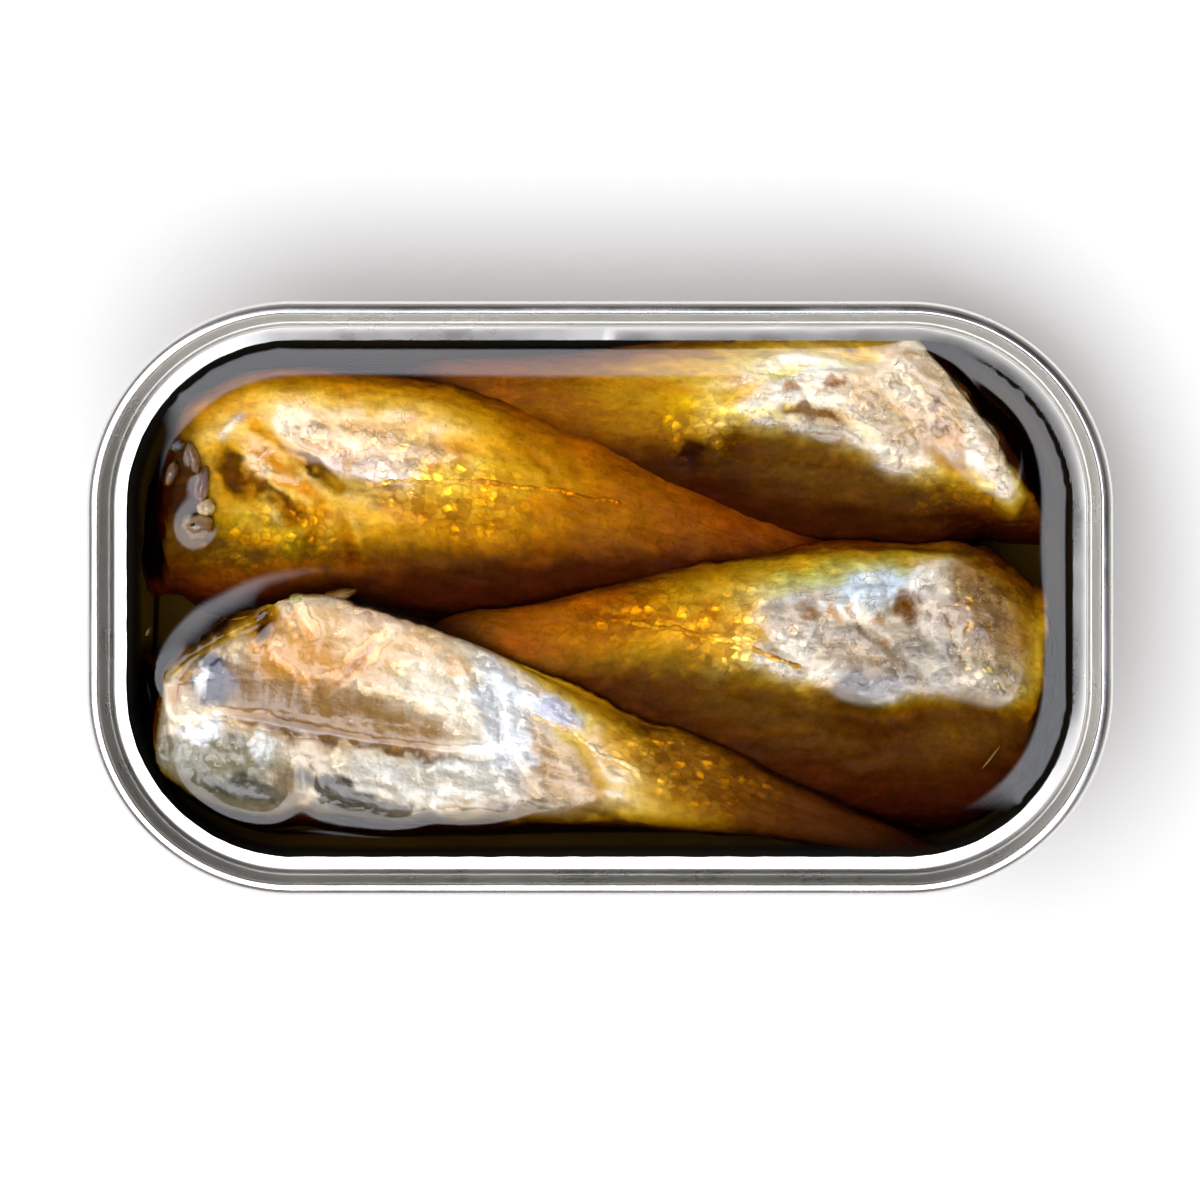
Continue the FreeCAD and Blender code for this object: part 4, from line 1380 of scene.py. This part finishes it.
def blurred(values, rounds):
    """The values, each drawn halfway to the mean of its neighbours in every round."""
    for _ in range(rounds):
        values = sum(neighbours(values, "edge")) / 8 + values / 2
    return values


backs = blurred(backs_from_above([*shoal, shreds]), 2)
past_edge, _ = rim_distance(plan, OPENING_INSET)
under_ledge = past_edge > 0
held = under_ledge | (near_line(plan, SHOULDER) < GRID_STEP)
climb = np.where(under_ledge, LEDGE_CLIMB, SHOULDER_CLIMB)
stiffness = (CAPILLARY_LENGTH / GRID_STEP) ** 2
level = np.where(held, climb, 0.0)
floor_of_oil = np.where(under_ledge, NO_FLOOR, backs - OIL_LEVEL)
for _ in range(RELAX_ROUNDS):
    relaxed = stiffness * sum(neighbours(level, "edge")) / (1 + 4 * stiffness)
    level = np.where(held, climb, np.maximum(relaxed, floor_of_oil))
dry = (level <= floor_of_oil + TOUCHING) & ~held
steps_in = np.zeros(dry.shape)
inner = dry.copy()
for _ in range(INTO_FISH_ROUNDS):
    steps_in += inner
    inner = np.logical_and.reduce([inner, *neighbours(inner, "constant")])
level = level - dry * (INTO_FISH_EDGE + INTO_FISH * GRID_STEP * steps_in)

wall_top_inset = 4 * SHEET - INTO_WALL
outside, way_out = rim_distance(plan, wall_top_inset)
in_tin = outside < 0
kept_cells = in_tin[:-1, :-1] | in_tin[1:, :-1] | in_tin[:-1, 1:] | in_tin[1:, 1:]
grid = np.arange(rows * columns).reshape(rows, columns)
quads = np.stack([grid[:-1, :-1], grid[:-1, 1:], grid[1:, 1:], grid[1:, :-1]], axis=-1)
quads = quads[kept_cells]
snapped = plan - way_out * np.clip(outside, 0, None)[..., None]
surface = np.concatenate([snapped, (OIL_LEVEL + level)[..., None]], axis=-1).reshape(-1, 3)
used = np.unique(quads)
renumber = np.full(rows * columns, -1)
renumber[used] = np.arange(len(used))
quads = renumber[quads]

# The edge of the surface, in order, is carried down the wall and across the base
pairs = np.concatenate([quads[:, [a, (a + 1) % 4]] for a in range(4)])
directed = {(int(a), int(b)) for a, b in pairs}
following = {a: b for a, b in directed if (b, a) not in directed}
loop = [next(iter(following))]
while following[loop[-1]] != loop[0]:
    loop.append(following[loop[-1]])
oil_points = surface[used]
rim = oil_points[loop]
_, rim_out = rim_distance(rim[:, :2], wall_top_inset)
down_the_wall = [(z, wall_inset(z) - INTO_WALL) for z in WALL_STATIONS]
foot_inner = FOOT_START + FOOT_WIDTH
across_the_base = [
    (WALL_STATIONS[-1], foot_inner),
    (FLOOR - INTO_WALL, foot_inner + STEP_RUN + BASE_RUN_IN),
]
layers = [np.array(loop)]
for z, inset in down_the_wall + across_the_base:
    layer = rim.copy()
    layer[:, :2] -= rim_out * (inset - wall_top_inset)
    layer[:, 2] = z
    layers.append(np.arange(len(oil_points), len(oil_points) + len(loop)))
    oil_points = np.concatenate([oil_points, layer])
oil_faces = list(quads)
for upper, lower in zip(layers, layers[1:]):
    oil_faces += list(np.stack([upper, lower, np.roll(lower, -1), np.roll(upper, -1)], axis=1))
oil_faces.append(layers[-1])


def clear_oil():
    """Clear oil: a smooth surface that bends light and lets the lamps' light through."""
    made = bpy.data.materials.new("golden_oil")
    made.use_nodes = True
    tree = made.node_tree
    where = add_node(tree, "ShaderNodeTexCoord").outputs["Object"]
    finish = {
        "Base Color": (1.0, 0.985, 0.95, 1),
        "Transmission Weight": 1.0,
        "IOR": 1.47,
        "Roughness": 0.0,
        "Normal": bumped(tree, noise(tree, where, 90.0, 2.0), 0.15, 0.0002),
    }
    fill(tree.nodes["Principled BSDF"], finish)
    choice = {
        "Fac": add_node(tree, "ShaderNodeLightPath").outputs["Is Shadow Ray"],
        1: tree.nodes["Principled BSDF"].outputs["BSDF"],
        2: add_node(tree, "ShaderNodeBsdfTransparent").outputs["BSDF"],
    }
    choose = add_node(tree, "ShaderNodeMixShader", choice)
    fill(tree.nodes["Material Output"], {"Surface": choose.outputs["Shader"]})
    return made


oil = new_object("oil_surface", oil_points, oil_faces, clear_oil())
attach(oil, "root")
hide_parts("oil")


# --- Studio -----------------------------------------------------------------------
# A pale floor, a broad soft window to the lower left, a dark ceiling straight above, and
# the camera that looks straight down.

TABLE_SIZE = 3000.0
CAMERA_HEIGHT = 600.0
CAMERA_SHIFT = -0.16
SENSOR_WIDTH = 36.0
PICTURE_WIDTH = 121.4  # millimetres at the rim

# Where light begins and where it is full, as the height of a direction: 1 is straight up
WINDOW_SILL = (0.72, 0.78)
WINDOW_TOP = (0.992, 0.982)
CEILING_EDGE = (0.95, 0.2)
# The same, as the share of a direction that points to the window's side
WINDOW_SIDE = (-0.10, 0.0)
SHADE_SIDE = (-0.7, 0.9)
TO_WINDOW = -0.7071  # along each of the two level axes
WINDOW_LIGHT = 4.6
WINDOW_COLOUR = (0.95, 0.98, 1.06)
WALL_LIGHT = 0.36
WALL_SHADE = -0.13  # the wall beneath the window is darker
WALL_COLOUR = (1.06, 1.0, 0.90)

table_colour = bpy.data.materials.new("pale_table")
table_colour.use_nodes = True
table_finish = {"Base Color": (0.98, 0.95, 0.90, 1), "Roughness": 0.9}
fill(table_colour.node_tree.nodes["Principled BSDF"], table_finish)
half = TABLE_SIZE / 2
table_corners = [(-half, -half, 0), (half, -half, 0), (half, half, 0), (-half, half, 0)]
table = new_object("table", table_corners, [(0, 1, 2, 3)], table_colour, smooth=False)

world = bpy.data.worlds.new("studio")
bpy.context.scene.world = world
world.use_nodes = True
sky = world.node_tree


def world_step(value, limits):
    """Smooth step of a world value, from 0 at the first limit to 1 at the second."""
    given = {"Value": value, "From Min": limits[0], "From Max": limits[1]}
    node = add_node(sky, "ShaderNodeMapRange", given, interpolation_type="SMOOTHSTEP")
    return node.outputs["Result"]


def coloured(colour, strength):
    """A colour of light at a strength."""
    given = {0: colour, "Scale": strength}
    return add_node(sky, "ShaderNodeVectorMath", given, operation="SCALE").outputs["Vector"]


direction = add_node(sky, "ShaderNodeTexCoord").outputs["Generated"]
axes = add_node(sky, "ShaderNodeSeparateXYZ", {"Vector": direction}).outputs
towards = calculate(sky, "ADD", axes["X"], axes["Y"])
towards = calculate(sky, "MULTIPLY", towards, TO_WINDOW)
window = calculate(
    sky, "MULTIPLY", world_step(axes["Z"], WINDOW_SILL), world_step(axes["Z"], WINDOW_TOP)
)
window = calculate(sky, "MULTIPLY", window, world_step(towards, WINDOW_SIDE))
horizon = calculate(sky, "MULTIPLY", world_step(towards, SHADE_SIDE), WALL_SHADE)
horizon = calculate(sky, "ADD", horizon, WALL_LIGHT)
walls = calculate(sky, "MULTIPLY", world_step(axes["Z"], CEILING_EDGE), horizon)
window_light = tuple(part * WINDOW_LIGHT for part in WINDOW_COLOUR)
both = {0: coloured(WALL_COLOUR, walls), 1: coloured(window_light, window)}
total = add_node(sky, "ShaderNodeVectorMath", both, operation="ADD")
fill(sky.nodes["Background"], {"Color": total.outputs["Vector"]})

camera_data = bpy.data.cameras.new("camera")
camera_data.sensor_width = SENSOR_WIDTH
camera_data.lens = SENSOR_WIDTH * (CAMERA_HEIGHT - TIN_HEIGHT) / PICTURE_WIDTH
camera = bpy.data.objects.new("camera", camera_data)
camera.location = (0, CAMERA_SHIFT / 1000, CAMERA_HEIGHT / 1000)
bpy.context.scene.collection.objects.link(camera)
bpy.context.scene.camera = camera
bpy.context.scene.view_settings.view_transform = "Standard"
